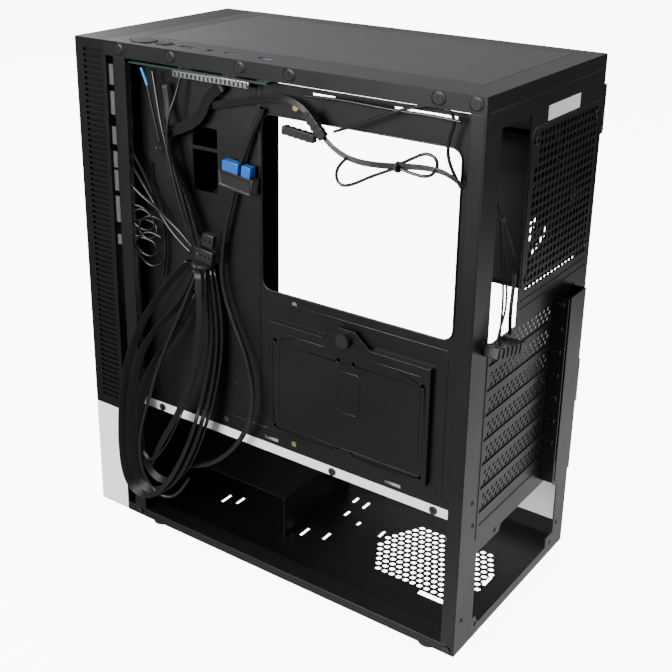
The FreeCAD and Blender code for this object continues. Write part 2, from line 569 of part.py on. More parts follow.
FRONT_CUT = (f"{FRONT} - steel", "3 * steel")
front_blank = box("front_blank", (LEFT, "case_width"), (FRONT, "steel"),
                  ("foot_height + steel", "case_height - 2 * steel"))
front_cuts = []
for number in (0, 1):
    centre = f"foot_height + front_fan_low + {number} * front_fan_gap"
    front_cuts.append(rod(f"front_opening_{number}", "y", MIDDLE, FRONT_CUT[0], centre, "fan_opening",
                          FRONT_CUT[1]))
    for corner, (across, up) in enumerate(((-0.5, -0.5), (0.5, -0.5), (-0.5, 0.5), (0.5, 0.5))):
        front_cuts.append(rod(f"front_hole_{number}_{corner}", "y", f"{MIDDLE} + {across} * fan_hole_pitch",
                              FRONT_CUT[0], f"{centre} + {up} * fan_hole_pitch", "fan_hole_r", FRONT_CUT[1]))
# The height and the length of each slot beside the tray's front edge.
EDGE_SLOTS = ((138, 28), (178, 15), (258, 9), (279, 24), (307, 20), (328, 13), (348, 14), (372, 19), (391, 17))
for number, (up, tall) in enumerate(EDGE_SLOTS):
    front_cuts.append(box(f"edge_slot_{number}",
                          (f"{RIGHT} - tray_inset + edge_slot_inset", "edge_slot_width"), FRONT_CUT,
                          (f"foot_height + {up}", str(tall))))
keep(cut("front_plate", front_blank, front_cuts), "front_plate")

PANEL_BASE = "foot_height + fascia_height + seam"
PANEL_TALL = "case_height - fascia_height - seam"
panel_blank = box("panel_blank", (LEFT, "case_width"), (FACE, "panel_depth"), (PANEL_BASE, PANEL_TALL))
panel_hollow = box("panel_hollow", (f"{LEFT} + panel_wall", "case_width - 2 * panel_wall"),
                   (f"{FACE} + panel_cap", "panel_depth"),
                   (f"{PANEL_BASE} + panel_cap", f"{PANEL_TALL} - 2 * panel_cap"))
mesh_hole = box("mesh_hole", (f"{LEFT} + mesh_border", "case_width - 2 * mesh_border"),
                (f"{FACE} - steel", "panel_depth"),
                (f"{PANEL_BASE} + mesh_border", f"{PANEL_TALL} - 2 * mesh_border"))


def louvre_field():
    """Blind horizontal louvres in both sides of the front panel."""
    prisms = []
    low = floor + size.fascia_height + size.louvre_base
    face = front - size.panel_depth
    for side in (left - 1, right - size.louvre_depth):
        for number in range(int(size.louvre_count)):
            corner = Vector(side, front - size.louvre_back - size.louvre_length,
                            low + number * size.louvre_pitch)
            if corner.z + size.louvre_height < roof - size.panel_cap and corner.y > face:
                prisms.append(Part.makeBox(size.louvre_depth + 1, size.louvre_length,
                                           size.louvre_height, corner))
    return field("louvres", prisms)


keep(cut("front_panel", panel_blank, [fuse("panel_inside", [panel_hollow, mesh_hole]), louvre_field()]),
     "front_panel")
keep(box("front_mesh", (f"{LEFT} + mesh_border - 2 * steel", "case_width - 2 * mesh_border + 4 * steel"),
         (f"{FACE} + panel_cap", "mesh_thickness"),
         (f"{PANEL_BASE} + mesh_border - 2 * steel", f"{PANEL_TALL} - 2 * mesh_border + 4 * steel")),
     "front_mesh")


# ---- roof, top filter, buttons and ports ------------------------------------

ROOF_CUT = (f"{ROOF} - 3 * steel", "4 * steel")
roof_sheet = box("roof_sheet", (LEFT, "case_width"), (FRONT, "case_depth"), (f"{ROOF} - steel", "steel"))
rail_side = box("roof_rail_side", (f"{RIGHT} - steel", "steel"),
                (f"{FRONT} + steel", "case_depth - 2 * steel"),
                (f"{ROOF} - roof_flange", "roof_flange - steel"))
rail_back = box("roof_rail_back", (LEFT, "case_width"), (f"{REAR} - steel", "steel"),
                ("foot_height + rear_top", "case_height - rear_top - steel"))
# How far each dished screw seat in the roof rail lies from the rear.
SEATS = (8, 36, 159, 205, 274, 329)
seat_cuts = [rod(f"seat_{number}", "x", f"{RIGHT} - seat_depth", f"{REAR} - {back}", f"{ROOF} - seat_back",
                 "seat_r", "steel") for number, back in enumerate(SEATS)]
keep(cut("roof_rail", fuse("roof_rail_blank", [rail_side, rail_back]), seat_cuts), "roof_rail")
FILTER_X = (f"{RIGHT} - filter_edge - filter_width", "filter_width")
FILTER_Y = (f"{REAR} - filter_back - filter_length", "filter_length")
roof_tray = box("roof_tray", (f"{FILTER_X[0]} - roof_vent_margin / 2", "filter_width + roof_vent_margin"),
                (f"{FILTER_Y[0]} - roof_vent_margin / 2", "filter_length + roof_vent_margin"),
                (f"{ROOF} - 2 * steel", "steel"))
filter_cut = box("filter_cut", FILTER_X, FILTER_Y, (f"{ROOF} - steel", "2 * steel"))


def roof_vent_field():
    """Large square vents in the sunken roof panel, under the filter."""
    prisms = []
    pitch = size.filter_width / size.roof_vent_count
    hole = pitch - size.roof_vent_bar
    x0 = right - size.filter_edge - size.filter_width + size.roof_vent_bar / 2
    y0 = rear - size.filter_back - size.filter_length + size.roof_vent_bar / 2
    for column in range(int(size.roof_vent_count)):
        for row in range(int(size.filter_length // pitch)):
            corner = Vector(x0 + column * pitch, y0 + row * pitch, roof - 4 * size.steel)
            prisms.append(Part.makeBox(hole, hole, 4 * size.steel, corner))
    return field("roof_vents", prisms)


CONTROL_X = f"{RIGHT} - control_inset"
power_hole = rod("power_hole", "z", CONTROL_X, f"{REAR} - power_back", ROOF_CUT[0],
                 "power_r + button_play", ROOF_CUT[1])
reset_hole = rod("reset_hole", "z", CONTROL_X, f"{REAR} - reset_back", ROOF_CUT[0],
                 "reset_r + button_play", ROOF_CUT[1])
jack_hole = rod("jack_hole", "z", CONTROL_X, f"{REAR} - jack_back", ROOF_CUT[0], "jack_r", ROOF_CUT[1])
port_cuts = [box(f"port_hole_{name}", (f"{CONTROL_X} - usb_width / 2", "usb_width"),
                 (f"{REAR} - {name} - usb_length / 2", "usb_length"), ROOF_CUT)
             for name in ("usb_first_back", "usb_second_back", "usb_fast_back")]
roof_blank = fuse("roof_blank", [roof_sheet, roof_tray])
keep(cut("roof_panel", roof_blank, [filter_cut, roof_vent_field(), power_hole, reset_hole, jack_hole]
         + port_cuts), "roof_panel")

keep(box("top_filter", (f"{FILTER_X[0]} + filter_play", "filter_width - 2 * filter_play"),
         (f"{FILTER_Y[0]} + filter_play", "filter_length - 2 * filter_play"), (f"{ROOF} - steel", "steel")),
     "top_filter")

for label, back, radius in (("power_button", "power_back", "power_r"),
                            ("reset_button", "reset_back", "reset_r")):
    button = new_body(label, x=CONTROL_X, y=f"{REAR} - {back}", z=f"{ROOF} + button_proud")
    cap_sketch = new_sketch(button, "XY_Plane", label + "_cap")
    draw_circle(cap_sketch, "0", "0", radius)
    pad(button, cap_sketch, "button_height + button_proud", backwards=True)
    doc.recompute()
    collar = new_sketch(button, "XY_Plane", label + "_collar")
    collar.setExpression(".AttachmentOffset.Base.z", bound("-button_height - button_proud"))
    draw_circle(collar, "0", "0", f"{radius} + button_collar")
    pad(button, collar, "button_collar", backwards=True)
    doc.recompute()
    keep(button, label)

PCB_TOP = f"{ROOF} - board_drop"
keep(box("io_board", (f"{CONTROL_X} - board_width / 2", "board_width"),
         (f"{REAR} - board_back - board_length", "board_length"), (f"{PCB_TOP} - board_thickness",
                                                                  "board_thickness")), "io_board")


def usb_port(name, back):
    """A metal port shell, open upwards, standing on the control board."""
    shell = box(name + "_shell", (f"{CONTROL_X} - usb_width / 2", "usb_width"),
                (f"{REAR} - {back} - usb_length / 2", "usb_length"), (PCB_TOP, "board_drop - steel / 2"))
    mouth = box(name + "_mouth", (f"{CONTROL_X} - usb_width / 2 + port_wall", "usb_width - 2 * port_wall"),
                (f"{REAR} - {back} - usb_length / 2 + port_wall", "usb_length - 2 * port_wall"),
                (f"{ROOF} - usb_depth", "usb_depth"))
    tongue = box(name + "_tongue", (f"{CONTROL_X} - usb_width / 4", "usb_width / 3"),
                 (f"{REAR} - {back} - usb_length / 2 + 1.5 * steel", "usb_length - 3 * steel"),
                 (PCB_TOP, "board_drop - 2 * steel"))
    return fuse(name, [cut(name + "_case", shell, [mouth]), tongue])


keep(group("usb_ports", [usb_port("usb_first", "usb_first_back"),
                         usb_port("usb_second", "usb_second_back")]), "usb_ports")
keep(usb_port("usb_fast", "usb_fast_back"), "usb_fast_port")
jack_shell = rod("jack_shell", "z", CONTROL_X, f"{REAR} - jack_back", PCB_TOP, "jack_r - steel / 10",
                 "board_drop - steel / 2")
jack_mouth = rod("jack_mouth", "z", CONTROL_X, f"{REAR} - jack_back", f"{ROOF} - usb_depth",
                 "jack_r - 1.5 * steel", "usb_depth")
keep(cut("audio_jack", jack_shell, [jack_mouth]), "audio_jack")


# ---- exhaust fan ------------------------------------------------------------

FAN_Y = f"{REAR} - steel - fan_depth"
fan_blank = box("fan_blank", (f"{FAN_X} - fan_side / 2", "fan_side"), (FAN_Y, "fan_depth"),
                (f"{FAN_Z} - fan_side / 2", "fan_side"))
fan_bore = rod("fan_bore_tool", "y", FAN_X, f"{FAN_Y} - steel", FAN_Z, "fan_bore", "fan_depth + 2 * steel")
fan_holes = [rod(f"fan_hole_{number}", "y", f"{FAN_X} + {across} * fan_hole_pitch", f"{FAN_Y} - steel",
                 f"{FAN_Z} + {up} * fan_hole_pitch", "fan_hole_r", "fan_depth + 2 * steel")
             for number, (across, up) in enumerate(((-0.5, -0.5), (0.5, -0.5), (-0.5, 0.5), (0.5, 0.5)))]
fan_ring = cut("fan_ring", rounded("fan_round", fan_blank, "y", size.fan_radius), [fan_bore] + fan_holes)
STRUT_Y = f"{REAR} - steel - strut_depth"
struts = [rod("fan_seat", "y", FAN_X, STRUT_Y, FAN_Z, "hub_r + steel", "strut_depth"),
          rod("fan_spindle", "y", FAN_X, f"{FAN_Y} + 4 * steel", FAN_Z, "spindle_r",
              "fan_depth - strut_depth - 3 * steel"),
          box("strut_across", (f"{FAN_X} - fan_bore - steel", "2 * fan_bore + 2 * steel"),
              (STRUT_Y, "strut_depth"), (f"{FAN_Z} - strut_width / 2", "strut_width")),
          box("strut_up", (f"{FAN_X} - strut_width / 2", "strut_width"), (STRUT_Y, "strut_depth"),
              (f"{FAN_Z} - fan_bore - steel", "2 * fan_bore + 2 * steel"))]
keep(fuse("fan_frame", [fan_ring] + struts), "fan_frame")

rotor = new_body("fan_rotor", x=FAN_X, y=f"{STRUT_Y} - steel", z=FAN_Z)
hub_sketch = new_sketch(rotor, "XZ_Plane", "hub_outline")
draw_circle(hub_sketch, "0", "0", "hub_r")
draw_circle(hub_sketch, "0", "0", "spindle_r + spindle_play")
pad(rotor, hub_sketch, "fan_depth - strut_depth - 4 * steel")
blade_sketch = new_sketch(rotor, "XZ_Plane", "blade_outline")
blade_sketch.setExpression(".AttachmentOffset.Base.z", bound("2 * steel"))
draw_outline(blade_sketch, [("hub_r - 2 * steel", "-strut_width"), ("hub_r * 2", "-strut_width / 2"),
                            ("blade_r", "strut_width"), ("blade_r - steel / 4", "strut_width + 2 * steel"),
                            ("hub_r * 2", "2 * steel - strut_width / 2"),
                            ("hub_r - 2 * steel", "2 * steel - strut_width")])
blade = pad(rotor, blade_sketch, "fan_depth - strut_depth - 8 * steel")
doc.recompute()
ring = rotor.newObject("PartDesign::PolarPattern", "blade_ring")
ring.Originals = [blade]
ring.Axis = (hub_sketch, ["N_Axis"])
ring.Angle = 360
ring.setExpression("Occurrences", "Sizes.blade_count")
rotor.Tip = ring
keep(rotor, "fan_rotor")


# ---- slot covers, ledge, screw cover and screws -----------------------------

def cover_field(number):
    """Three staggered rows of slanted slots in one slot cover."""
    prisms = []
    centre = floor + size.slot_first + number * size.slot_pitch
    start = right - size.slot_edge - size.cover_hole_start
    half, wide, lean = size.cover_hole_height / 2, size.cover_hole_width, size.cover_hole_lean
    for row in (-1, 0, 1):
        for column in range(int(size.cover_hole_count)):
            x = start - column * size.cover_hole_pitch
            if row == 0:
                x -= size.cover_hole_pitch / 2
            z = centre + row * size.cover_row_pitch
            outline = ((x, z - half), (x - wide, z - half), (x - wide - lean, z + half), (x - lean, z + half))
            corners = [Vector(across, rear - 3 * size.steel, up) for across, up in outline]
            prisms.append(prism(corners, Vector(0, 3 * size.steel, 0)))
    return field(f"cover_holes_{number}", prisms)


covers = []
for number in range(int(size.slot_count)):
    centre = f"foot_height + slot_first + {number} * slot_pitch"
    strip = box(f"cover_strip_{number}", (f"{RIGHT} - slot_edge - slot_width", "slot_width + 4 * steel"),
                (f"{REAR} - 2 * steel", "steel"), (f"{centre} - cover_height / 2", "cover_height"))
    covers.append(cut(f"cover_{number}", strip, [cover_field(number)]))
keep(group("slot_covers", covers), "slot_covers")

LEDGE_X = f"{RIGHT} - ledge_edge"
ledge = box("ledge", (LEDGE_X, "steel"), (REAR, "ledge_reach"), ("foot_height + ledge_base", "ledge_height"))
ledge_holes = [rod(f"ledge_hole_{number}", "x", f"{LEDGE_X} - steel", f"{REAR} + ledge_reach / 2",
                   f"foot_height + slot_first + slot_screw_up + {number} * slot_pitch",
                   "screw_head_r / 2", "3 * steel") for number in range(int(size.slot_count))]
keep(cut("slot_ledge", ledge, ledge_holes), "slot_ledge")
slot_screws = []
for number in range(int(size.slot_count)):
    z = f"foot_height + slot_first + slot_screw_up + {number} * slot_pitch"
    head = rod(f"slot_head_{number}", "x", f"{LEDGE_X} - screw_head_height", f"{REAR} + ledge_reach / 2", z,
               "screw_head_r", "screw_head_height")
    shank = rod(f"slot_shank_{number}", "x", f"{LEDGE_X} - steel / 2", f"{REAR} + ledge_reach / 2", z,
                "screw_head_r / 2", "3 * steel")
    slot_screws.append(fuse(f"slot_screw_{number}", [head, shank]))
keep(group("slot_screws", slot_screws), "slot_screws")

COVER_X = f"{LEDGE_X} - screw_cover_gap - screw_cover_width"
COVER_Z = ("foot_height + ledge_base", "ledge_height")
cover_face = box("screw_cover_face", (COVER_X, "screw_cover_width"),
                 (f"{REAR} + ledge_reach - steel", "steel"), COVER_Z)
cover_wall = box("screw_cover_wall", (COVER_X, "steel"), (REAR, "ledge_reach"), COVER_Z)
cover_foot = box("screw_cover_foot", (f"{COVER_X} - 4 * steel", "4 * steel"), (REAR, "steel"), COVER_Z)
keep(fuse("slot_screw_cover", [cover_face, cover_wall, cover_foot]), "slot_screw_cover")


# ---- glass door and its hinges ----------------------------------------------

AXIS_X, AXIS_Y = f"({LEFT} - hinge_proud + knuckle_r)", f"({REAR} - knuckle_back)"
GLASS_X = f"{LEFT} - glass_gap - glass"
pane = box("pane", (GLASS_X, "glass"), (f"{FRONT} + glass_front", "case_depth - glass_front - glass_back"),
           ("foot_height + glass_edge_up", "case_height - 2 * glass_edge_up"))
keep(rounded("glass_round", pane, "x", size.glass_radius), "glass_door")
leaves, blocks, pins = [], [], []
for tag, low in (("low", "hinge_low"), ("high", "hinge_high")):
    base = f"foot_height + {low}"
    block = rod("block_" + tag, "z", AXIS_X, AXIS_Y, base, "knuckle_r", "knuckle_half")
    neck = box("block_neck_" + tag, (AXIS_X, f"{LEFT} - {AXIS_X}"), (f"{AXIS_Y} - knuckle_r", "2 * knuckle_r"),
               (base, "knuckle_half"))
    hole = rod("block_bore_" + tag, "z", AXIS_X, AXIS_Y, f"{base} - steel", "pin_r", "knuckle_half + 2 * steel")
    blocks.append(cut("hinge_block_" + tag, fuse("block_solid_" + tag, [block, neck]), [hole]))
    upper = f"{base} + knuckle_half + seam"
    knuckle = rod("leaf_knuckle_" + tag, "z", AXIS_X, AXIS_Y, upper, "knuckle_r", "knuckle_half")
    plate = box("leaf_plate_" + tag, (f"{GLASS_X} - leaf", "leaf"), (f"{AXIS_Y} - leaf_length", "leaf_length"),
                (upper, "knuckle_half"))
    bore = rod("leaf_bore_" + tag, "z", AXIS_X, AXIS_Y, f"{upper} - steel", "pin_r + pin_play",
               "knuckle_half + 2 * steel")
    leaves.append(cut("hinge_leaf_" + tag, fuse("leaf_solid_" + tag, [knuckle, plate]), [bore]))
    pins.append(rod("hinge_pin_" + tag, "z", AXIS_X, AXIS_Y, base, "pin_r", "2 * knuckle_half - 2 * steel"))
keep(group("hinge_blocks", blocks), "hinge_blocks")
keep(group("door_leaves", leaves), "door_leaves")
keep(group("hinge_pins", pins), "hinge_pins")


# ---- case screws and the blank label ----------------------------------------

def side_screw(name, inset, back, up, radius):
    """A low round head on a sheet face that looks towards the cable side."""
    head = rod(name + "_head", "x", f"{RIGHT} - {inset}", f"{REAR} - {back}", up, radius,
               "screw_head_height")
    drive = rod(name + "_drive", "x", f"{RIGHT} - {inset} + screw_head_height / 2", f"{REAR} - {back}",
                up, f"{radius} / 3", "screw_head_height")
    return cut(name, head, [drive])


case_screws = [side_screw(back, "tray_inset", back, "foot_height + shroud_top - shroud_flange / 2",
                          "screw_head_r")
               for back in ("shroud_screw_near", "shroud_screw_mid", "shroud_screw_far")]
case_screws += [side_screw(f"seat_screw_{number}", "seat_depth", back, f"{ROOF} - seat_back", "seat_screw_r")
                for number, back in enumerate(SEATS)]
case_screws += [side_screw(back, "0", back, "rail_screw_up", "seat_screw_r * 0.8")
                for back in ("rail_screw_near", "rail_screw_far")]
keep(group("case_screws", case_screws), "case_screws")
keep(box("blank_label", (f"{RIGHT} - label_edge - label_length", "label_length"), (REAR, "label_thickness"),
         ("foot_height + label_up", "label_height")), "blank_label")


# ---- loose leads behind the tray --------------------------------------------

BEND_SHARE = 0.45
VOLUME_SLACK = 0.01


def lead(label, width, route):
    """A round lead on straight runs joined by arcs as large as the runs allow."""
    points = [Vector(*point) for point in route]
    edges = []
    radii = []
    begin = points[0]
    for before, corner, after in zip(points, points[1:], points[2:]):
        back = before - corner
        ahead = after - corner
        turn = math.pi - back.getAngle(ahead)
        reach = BEND_SHARE * min(back.Length, ahead.Length)
        radius = reach / math.tan(turn / 2)
        back.normalize()
        ahead.normalize()
        inwards = (back + ahead).normalize()
        top = corner + inwards * (radius / math.cos(turn / 2) - radius)
        edges.append(Part.LineSegment(begin, corner + back * reach).toShape())
        edges.append(Part.Arc(corner + back * reach, top, corner + ahead * reach).toShape())
        begin = corner + ahead * reach
        radii.append(radius)
    edges.append(Part.LineSegment(begin, points[-1]).toShape())
    line = Part.Wire(edges)
    ring = Part.Wire(Part.makeCircle(width / 2, points[0], points[1] - points[0]))
    tube = doc.addObject("Part::Feature", label + "_tube")
    tube.Shape = line.makePipeShell([ring], True, False)
    wanted = math.pi * width ** 2 / 4 * line.Length
    if abs(tube.Shape.Volume / wanted - 1) > VOLUME_SLACK:
        raise SystemExit(f"{label} has the wrong volume")
    print(f"{label}: {line.Length:.0f} mm long, smallest radius {min(radii):.1f} mm")
    return keep(tube, label)


def block(name, near, far, width, height):
    """A plug's body: a bar from one end's middle to the other's, width across X."""
    start, end = Vector(*near), Vector(*far)
    along = (end - start).normalize()
    across = Vector(1, 0, 0) - along * along.x
    across.normalize()
    up = along.cross(across)
    corners = [start + across * (width / 2 * i) + up * (height / 2 * j)
               for i, j in ((-1, -1), (1, -1), (1, 1), (-1, 1))]
    solid = doc.addObject("Part::Feature", name)
    solid.Shape = prism(corners, end - start)
    return solid


def tie(name, centre, along, radius, width):
    """A tie's band round a bundle; along is the bundle's direction."""
    direction = Vector(*along).normalize()
    start = Vector(*centre) - direction * (width / 2)
    band = doc.addObject("Part::Feature", name)
    band.Shape = Part.makeCylinder(radius, width, start, direction)
    return band


lead("outer_loop", 5, (
    (93, -69.5, 269), (95, -64.5, 241), (97, -60.5, 211), (100, -63.5, 174.5), (103, -72, 135.5),
    (106, -84.5, 98.5), (109, -101, 65), (110.5, -117, 45), (111, -134.5, 37), (111.5, -148.5, 42.5),
    (112, -155, 59), (112, -156.5, 85.5), (112, -154.5, 115.5), (111.5, -150.5, 146.5),
    (110, -143, 177), (106.5, -130, 208), (101, -115, 233.5), (96, -99.5, 255), (92.5, -84, 271)))
lead("middle_loop", 5, (
    (93, -64.5, 269.5), (93.5, -60.5, 241.5), (95, -56.5, 211.5), (97.5, -58.5, 177.5),
    (101, -64.5, 143.5), (104.5, -75, 107), (107, -90.5, 72.5), (108.5, -108, 52), (109, -126, 43),
    (109.5, -140, 48.5), (110, -147.5, 65), (110, -149.5, 90), (110, -147.5, 121), (109, -141.5, 153),
    (106.5, -131.5, 182), (102.5, -116.5, 205.5), (98, -99, 224), (94, -85, 244.5), (91.5, -77.5, 265)))
lead("inner_loop", 4, (
    (91.5, -61.5, 268.5), (91.5, -55.5, 242), (93, -52, 212), (95, -54, 180), (98.5, -60, 147.5),
    (102, -69, 113.5), (104, -82, 83.5), (105, -97.5, 64), (105.5, -114, 56), (106, -128, 60.5),
    (106.5, -136.5, 75.5), (107, -139.5, 98), (106.5, -138.5, 125.5), (105, -132.5, 151),
    (102, -119.5, 175), (98.5, -103, 197), (95, -88.5, 219.5), (92.5, -77.5, 243)))
lead("folded_ribbon", 6, (
    (97.5, -73.5, 266), (101.5, -67.5, 237.5), (104.5, -69.5, 202), (105, -78.5, 162.5),
    (104, -98, 122.5), (102.5, -121.5, 87), (101, -134, 60.5)))
lead("round_lead", 4.5, (
    (91, -9.5, 409), (91.5, -21, 386.5), (92.5, -30.5, 361.5), (93, -39.5, 331.5), (93, -47.5, 303),
    (93, -51.5, 276.5), (94, -48, 251.5), (95, -38, 228), (96, -25, 205), (97, -17, 180.5),
    (98, -17, 153.5), (98, -27, 126), (98, -47, 101), (97, -73.5, 81), (95, -97.5, 73.5)))
lead("control_ribbon", 6, (
    (92.5, -47, 422), (93, -60, 413), (94, -65.5, 401.5), (95, -72.5, 390.5), (96, -86.5, 383),
    (96.5, -100, 378.5), (96.5, -109, 370.5), (95.5, -109.5, 358.5), (93, -102.5, 345),
    (92.5, -92, 330), (92.5, -81.5, 313), (93, -74.5, 294)))
lead("switch_ribbon", 4, (
    (93, -107, 416.5), (94, -103.5, 400.5), (97, -101.5, 384), (99, -101.5, 367), (99, -98, 351),
    (98.5, -89.5, 335), (98.5, -80.5, 318), (98.5, -73.5, 300), (99, -67.5, 282.5)))
lead("light_lead", 2.4, (
    (97, -127.5, 426), (97, -121.5, 414.5), (97, -118, 398), (97, -113.5, 381.5), (96.5, -110.5, 368)))
lead("front_lead_a", 2.6, (
    (100.5, -148, 367), (97, -137.5, 350), (94, -128, 330.5), (92, -121, 311), (91, -114.5, 292),
    (91, -113.5, 271), (91, -118, 248)))
lead("front_lead_b", 2.6, (
    (100.5, -147.5, 355), (97, -137.5, 337), (96, -124.5, 319.5), (96, -112, 303.5), (96, -97, 288.5),
    (97, -81, 280)))
lead("tangled_lead", 1.8, (
    (94, -112, 298.5), (97, -120, 303.5), (99, -129.5, 301), (100, -135.5, 293.5), (100, -133, 285),
    (99.5, -124.5, 282), (98, -116.5, 287), (96.5, -117.5, 295), (96.5, -126.5, 298.5),
    (97.5, -137.5, 296.5), (99, -146.5, 290.5), (100, -147, 281.5), (99.5, -141.5, 273),
    (98, -136.5, 264.5), (96.5, -130.5, 257.5), (95, -121.5, 257), (94, -114, 262.5)))
lead("top_run", 4.5, (
    (91.5, -63.5, 403), (91.5, -38.5, 409), (92, -11, 416), (93, 12.5, 420), (93.5, 28.5, 416.5),
    (94, 39.5, 407), (95, 50, 396), (96, 62.5, 388), (96.5, 77.5, 384), (96.5, 94.5, 384),
    (97, 111.5, 386), (97, 127.5, 388.5), (97, 142.5, 389.5), (96.5, 155.5, 387.5), (95, 165.5, 380.5)))
lead("top_wire", 2.4, (
    (96.5, 161.5, 425), (97, 139.5, 426), (97, 114.5, 425.5), (97, 88.5, 426), (96.5, 61, 426.5),
    (96, 34.5, 425)))
lead("inline_lead", 2.4, (
    (96, 59.5, 402.5), (96.5, 83.5, 412), (97, 106.5, 423), (97.5, 127.5, 431), (97.5, 144, 433.5),
    (96.5, 154.5, 430.5), (95.5, 156.5, 422.5), (95, 152.5, 412.5), (95, 151.5, 401), (95, 156, 389.5),
    (94.5, 163, 379.5)))
lead("bow_left", 2.4, (
    (97, 112, 384.5), (97, 93.5, 376), (97, 76.5, 366), (97, 66.5, 363.5), (97, 62, 370),
    (97, 64.5, 379), (97, 72, 385.5)))
lead("bow_right", 2.4, (
    (97, 116, 388.5), (97, 126.5, 394.5), (97, 136.5, 400), (97, 144.5, 397.5), (97, 146, 391),
    (97, 140.5, 383.5), (97, 129.5, 382.5), (97, 117, 385)))
lead("fan_lead", 3, (
    (62.5, 174.5, 362.5), (58, 176, 353), (52, 177, 341.5), (43.5, 178, 328), (37, 179, 314),
    (37.5, 180.5, 302), (45, 183.5, 293.5), (54, 187, 285.5), (60.5, 190, 277), (62, 191.5, 267)))

# The fast port's plug, the board plugs in the middle of the bundle, two in-line
# connectors under the roof rail and the fan's plug, which hangs at the rear.
keep(fuse("fast_usb_plug", [block("fast_plug_body", (93.5, -49, 349.5), (93.5, -15, 346), 9, 14),
                            block("fast_plug_insert", (93.5, -46, 360), (93.5, -17, 357), 7, 10)]),
     "fast_usb_plug")
keep(group("header_plugs", [block("header_plug_low", (101, -70, 284), (101, -52, 281.5), 6, 11),
                            block("header_plug_high", (101, -62, 297), (101, -51, 295.5), 5, 11)]),
     "header_plugs")
keep(group("inline_connectors", [block("inline_plug", (96, 14, 397.5), (96, 43, 394.5), 6, 7),
                                 block("inline_socket", (98, 36, 414), (98, 52, 397), 5, 8)]),
     "inline_connectors")
keep(block("fan_plug", (88, 189.6, 262), (44, 189.6, 252.5), 14, 8), "fan_plug")
keep(group("cable_ties", [tie("bundle_tie", (97, -68, 272), (0.1, -0.1, -1), 9, 2.5),
                          tie("ribbon_tie", (96, -109.5, 364), (0, 0.2, 1), 5, 2),
                          tie("bow_tie", (97, 114.5, 386), (0, 1, 0.1), 4, 2.5),
                          tie("fan_tie", (56, 176.5, 350), (-0.4, 0, -1), 2.6, 2)]), "cable_ties")


# ---- checks and export ------------------------------------------------------

doc.recompute()
for piece in doc.Objects:
    if "Invalid" in piece.State or "Error" in piece.State:
        raise SystemExit(f"{piece.Name} did not compute: {piece.State}")
os.makedirs("parts", exist_ok=True)
for node in nodes:
    shape = node.Shape
    if shape.isNull() or not shape.isValid() or not shape.Solids:
        raise SystemExit(f"{node.Label} has no sound shape")
    shape.exportStep(os.path.join("parts", node.Label + ".step"))
    print(f"{node.Label}: {len(shape.Solids)} solid(s), {shape.Volume:.0f} mm3")
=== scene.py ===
"""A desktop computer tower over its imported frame: finishes, leads and fine fittings.

Every place comes from the frame's own boxes, in metres. The leads repeat the routes
that the part itself uses.
"""
import json
import logging
import math
from dataclasses import dataclass, field
from enum import Enum

import bmesh
import bpy
from mathutils import Matrix, Vector


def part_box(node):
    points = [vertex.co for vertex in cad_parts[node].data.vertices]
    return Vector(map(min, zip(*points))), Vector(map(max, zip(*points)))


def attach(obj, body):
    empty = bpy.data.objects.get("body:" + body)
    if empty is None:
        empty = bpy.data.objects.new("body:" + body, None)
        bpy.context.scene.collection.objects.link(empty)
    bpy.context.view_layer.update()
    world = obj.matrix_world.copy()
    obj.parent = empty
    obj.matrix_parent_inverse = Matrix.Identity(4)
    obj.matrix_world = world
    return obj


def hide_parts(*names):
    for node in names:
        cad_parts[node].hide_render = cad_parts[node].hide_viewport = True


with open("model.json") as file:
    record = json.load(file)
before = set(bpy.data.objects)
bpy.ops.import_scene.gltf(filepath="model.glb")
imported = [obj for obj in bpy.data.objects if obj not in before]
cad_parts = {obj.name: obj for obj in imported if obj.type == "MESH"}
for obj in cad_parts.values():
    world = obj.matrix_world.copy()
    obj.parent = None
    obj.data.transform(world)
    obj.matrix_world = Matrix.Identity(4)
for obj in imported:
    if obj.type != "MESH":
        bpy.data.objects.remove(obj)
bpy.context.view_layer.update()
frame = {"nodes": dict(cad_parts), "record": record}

LOG = logging.getLogger("desktop_tower")
MM = 0.001

Obj = bpy.types.Object
Mat = bpy.types.Material
Tree = bpy.types.NodeTree
Socket = bpy.types.NodeSocket
Point = tuple[float, float, float]
Spot = tuple[float, float]


class Body(Enum):
    """The moving bodies that new pieces ride on."""

    CHASSIS = "chassis"
    ROTOR = "fan_rotor"


class Stiffness(Enum):
    """How easily a lead bends."""

    LIMP = "limp"
    MEDIUM = "medium"


OUT_X, OUT_Y, OUT_Z = Vector((1.0, 0.0, 0.0)), Vector((0.0, 1.0, 0.0)), Vector((0.0, 0.0, 1.0))
REAR_FACE = 0.1836
ROOF_FACE = 0.4456
RAIL_FACE = 0.1032
RAIL_FOOT = 0.4
TRAY_FACE = 0.0867
BRACKET_FACE = 0.0917
FOOT_FACE = 0.0078


# ---- working helpers ---------------------------------------------------------

def settle() -> None:
    """Deselects everything."""
    bpy.ops.object.select_all(action="DESELECT")


def take(piece: Obj) -> None:
    """Makes one piece the only selected and active one."""
    settle()
    piece.select_set(True)
    bpy.context.view_layer.objects.active = piece


def rest(piece: Obj, name: str, angle: float = 35.0) -> Obj:
    """Puts a piece's place into its mesh, names it and smooths its gentle edges.

    Args:
        piece: the object just modelled.
        name: its name from now on.
        angle: edges gentler than this are smoothed, in degrees.

    Returns:
        The same object.
    """
    take(piece)
    bpy.ops.object.transform_apply(location=True, rotation=True, scale=True)
    bpy.ops.object.shade_smooth_by_angle(angle=math.radians(angle))
    piece.name = name
    piece.data.name = name
    return piece


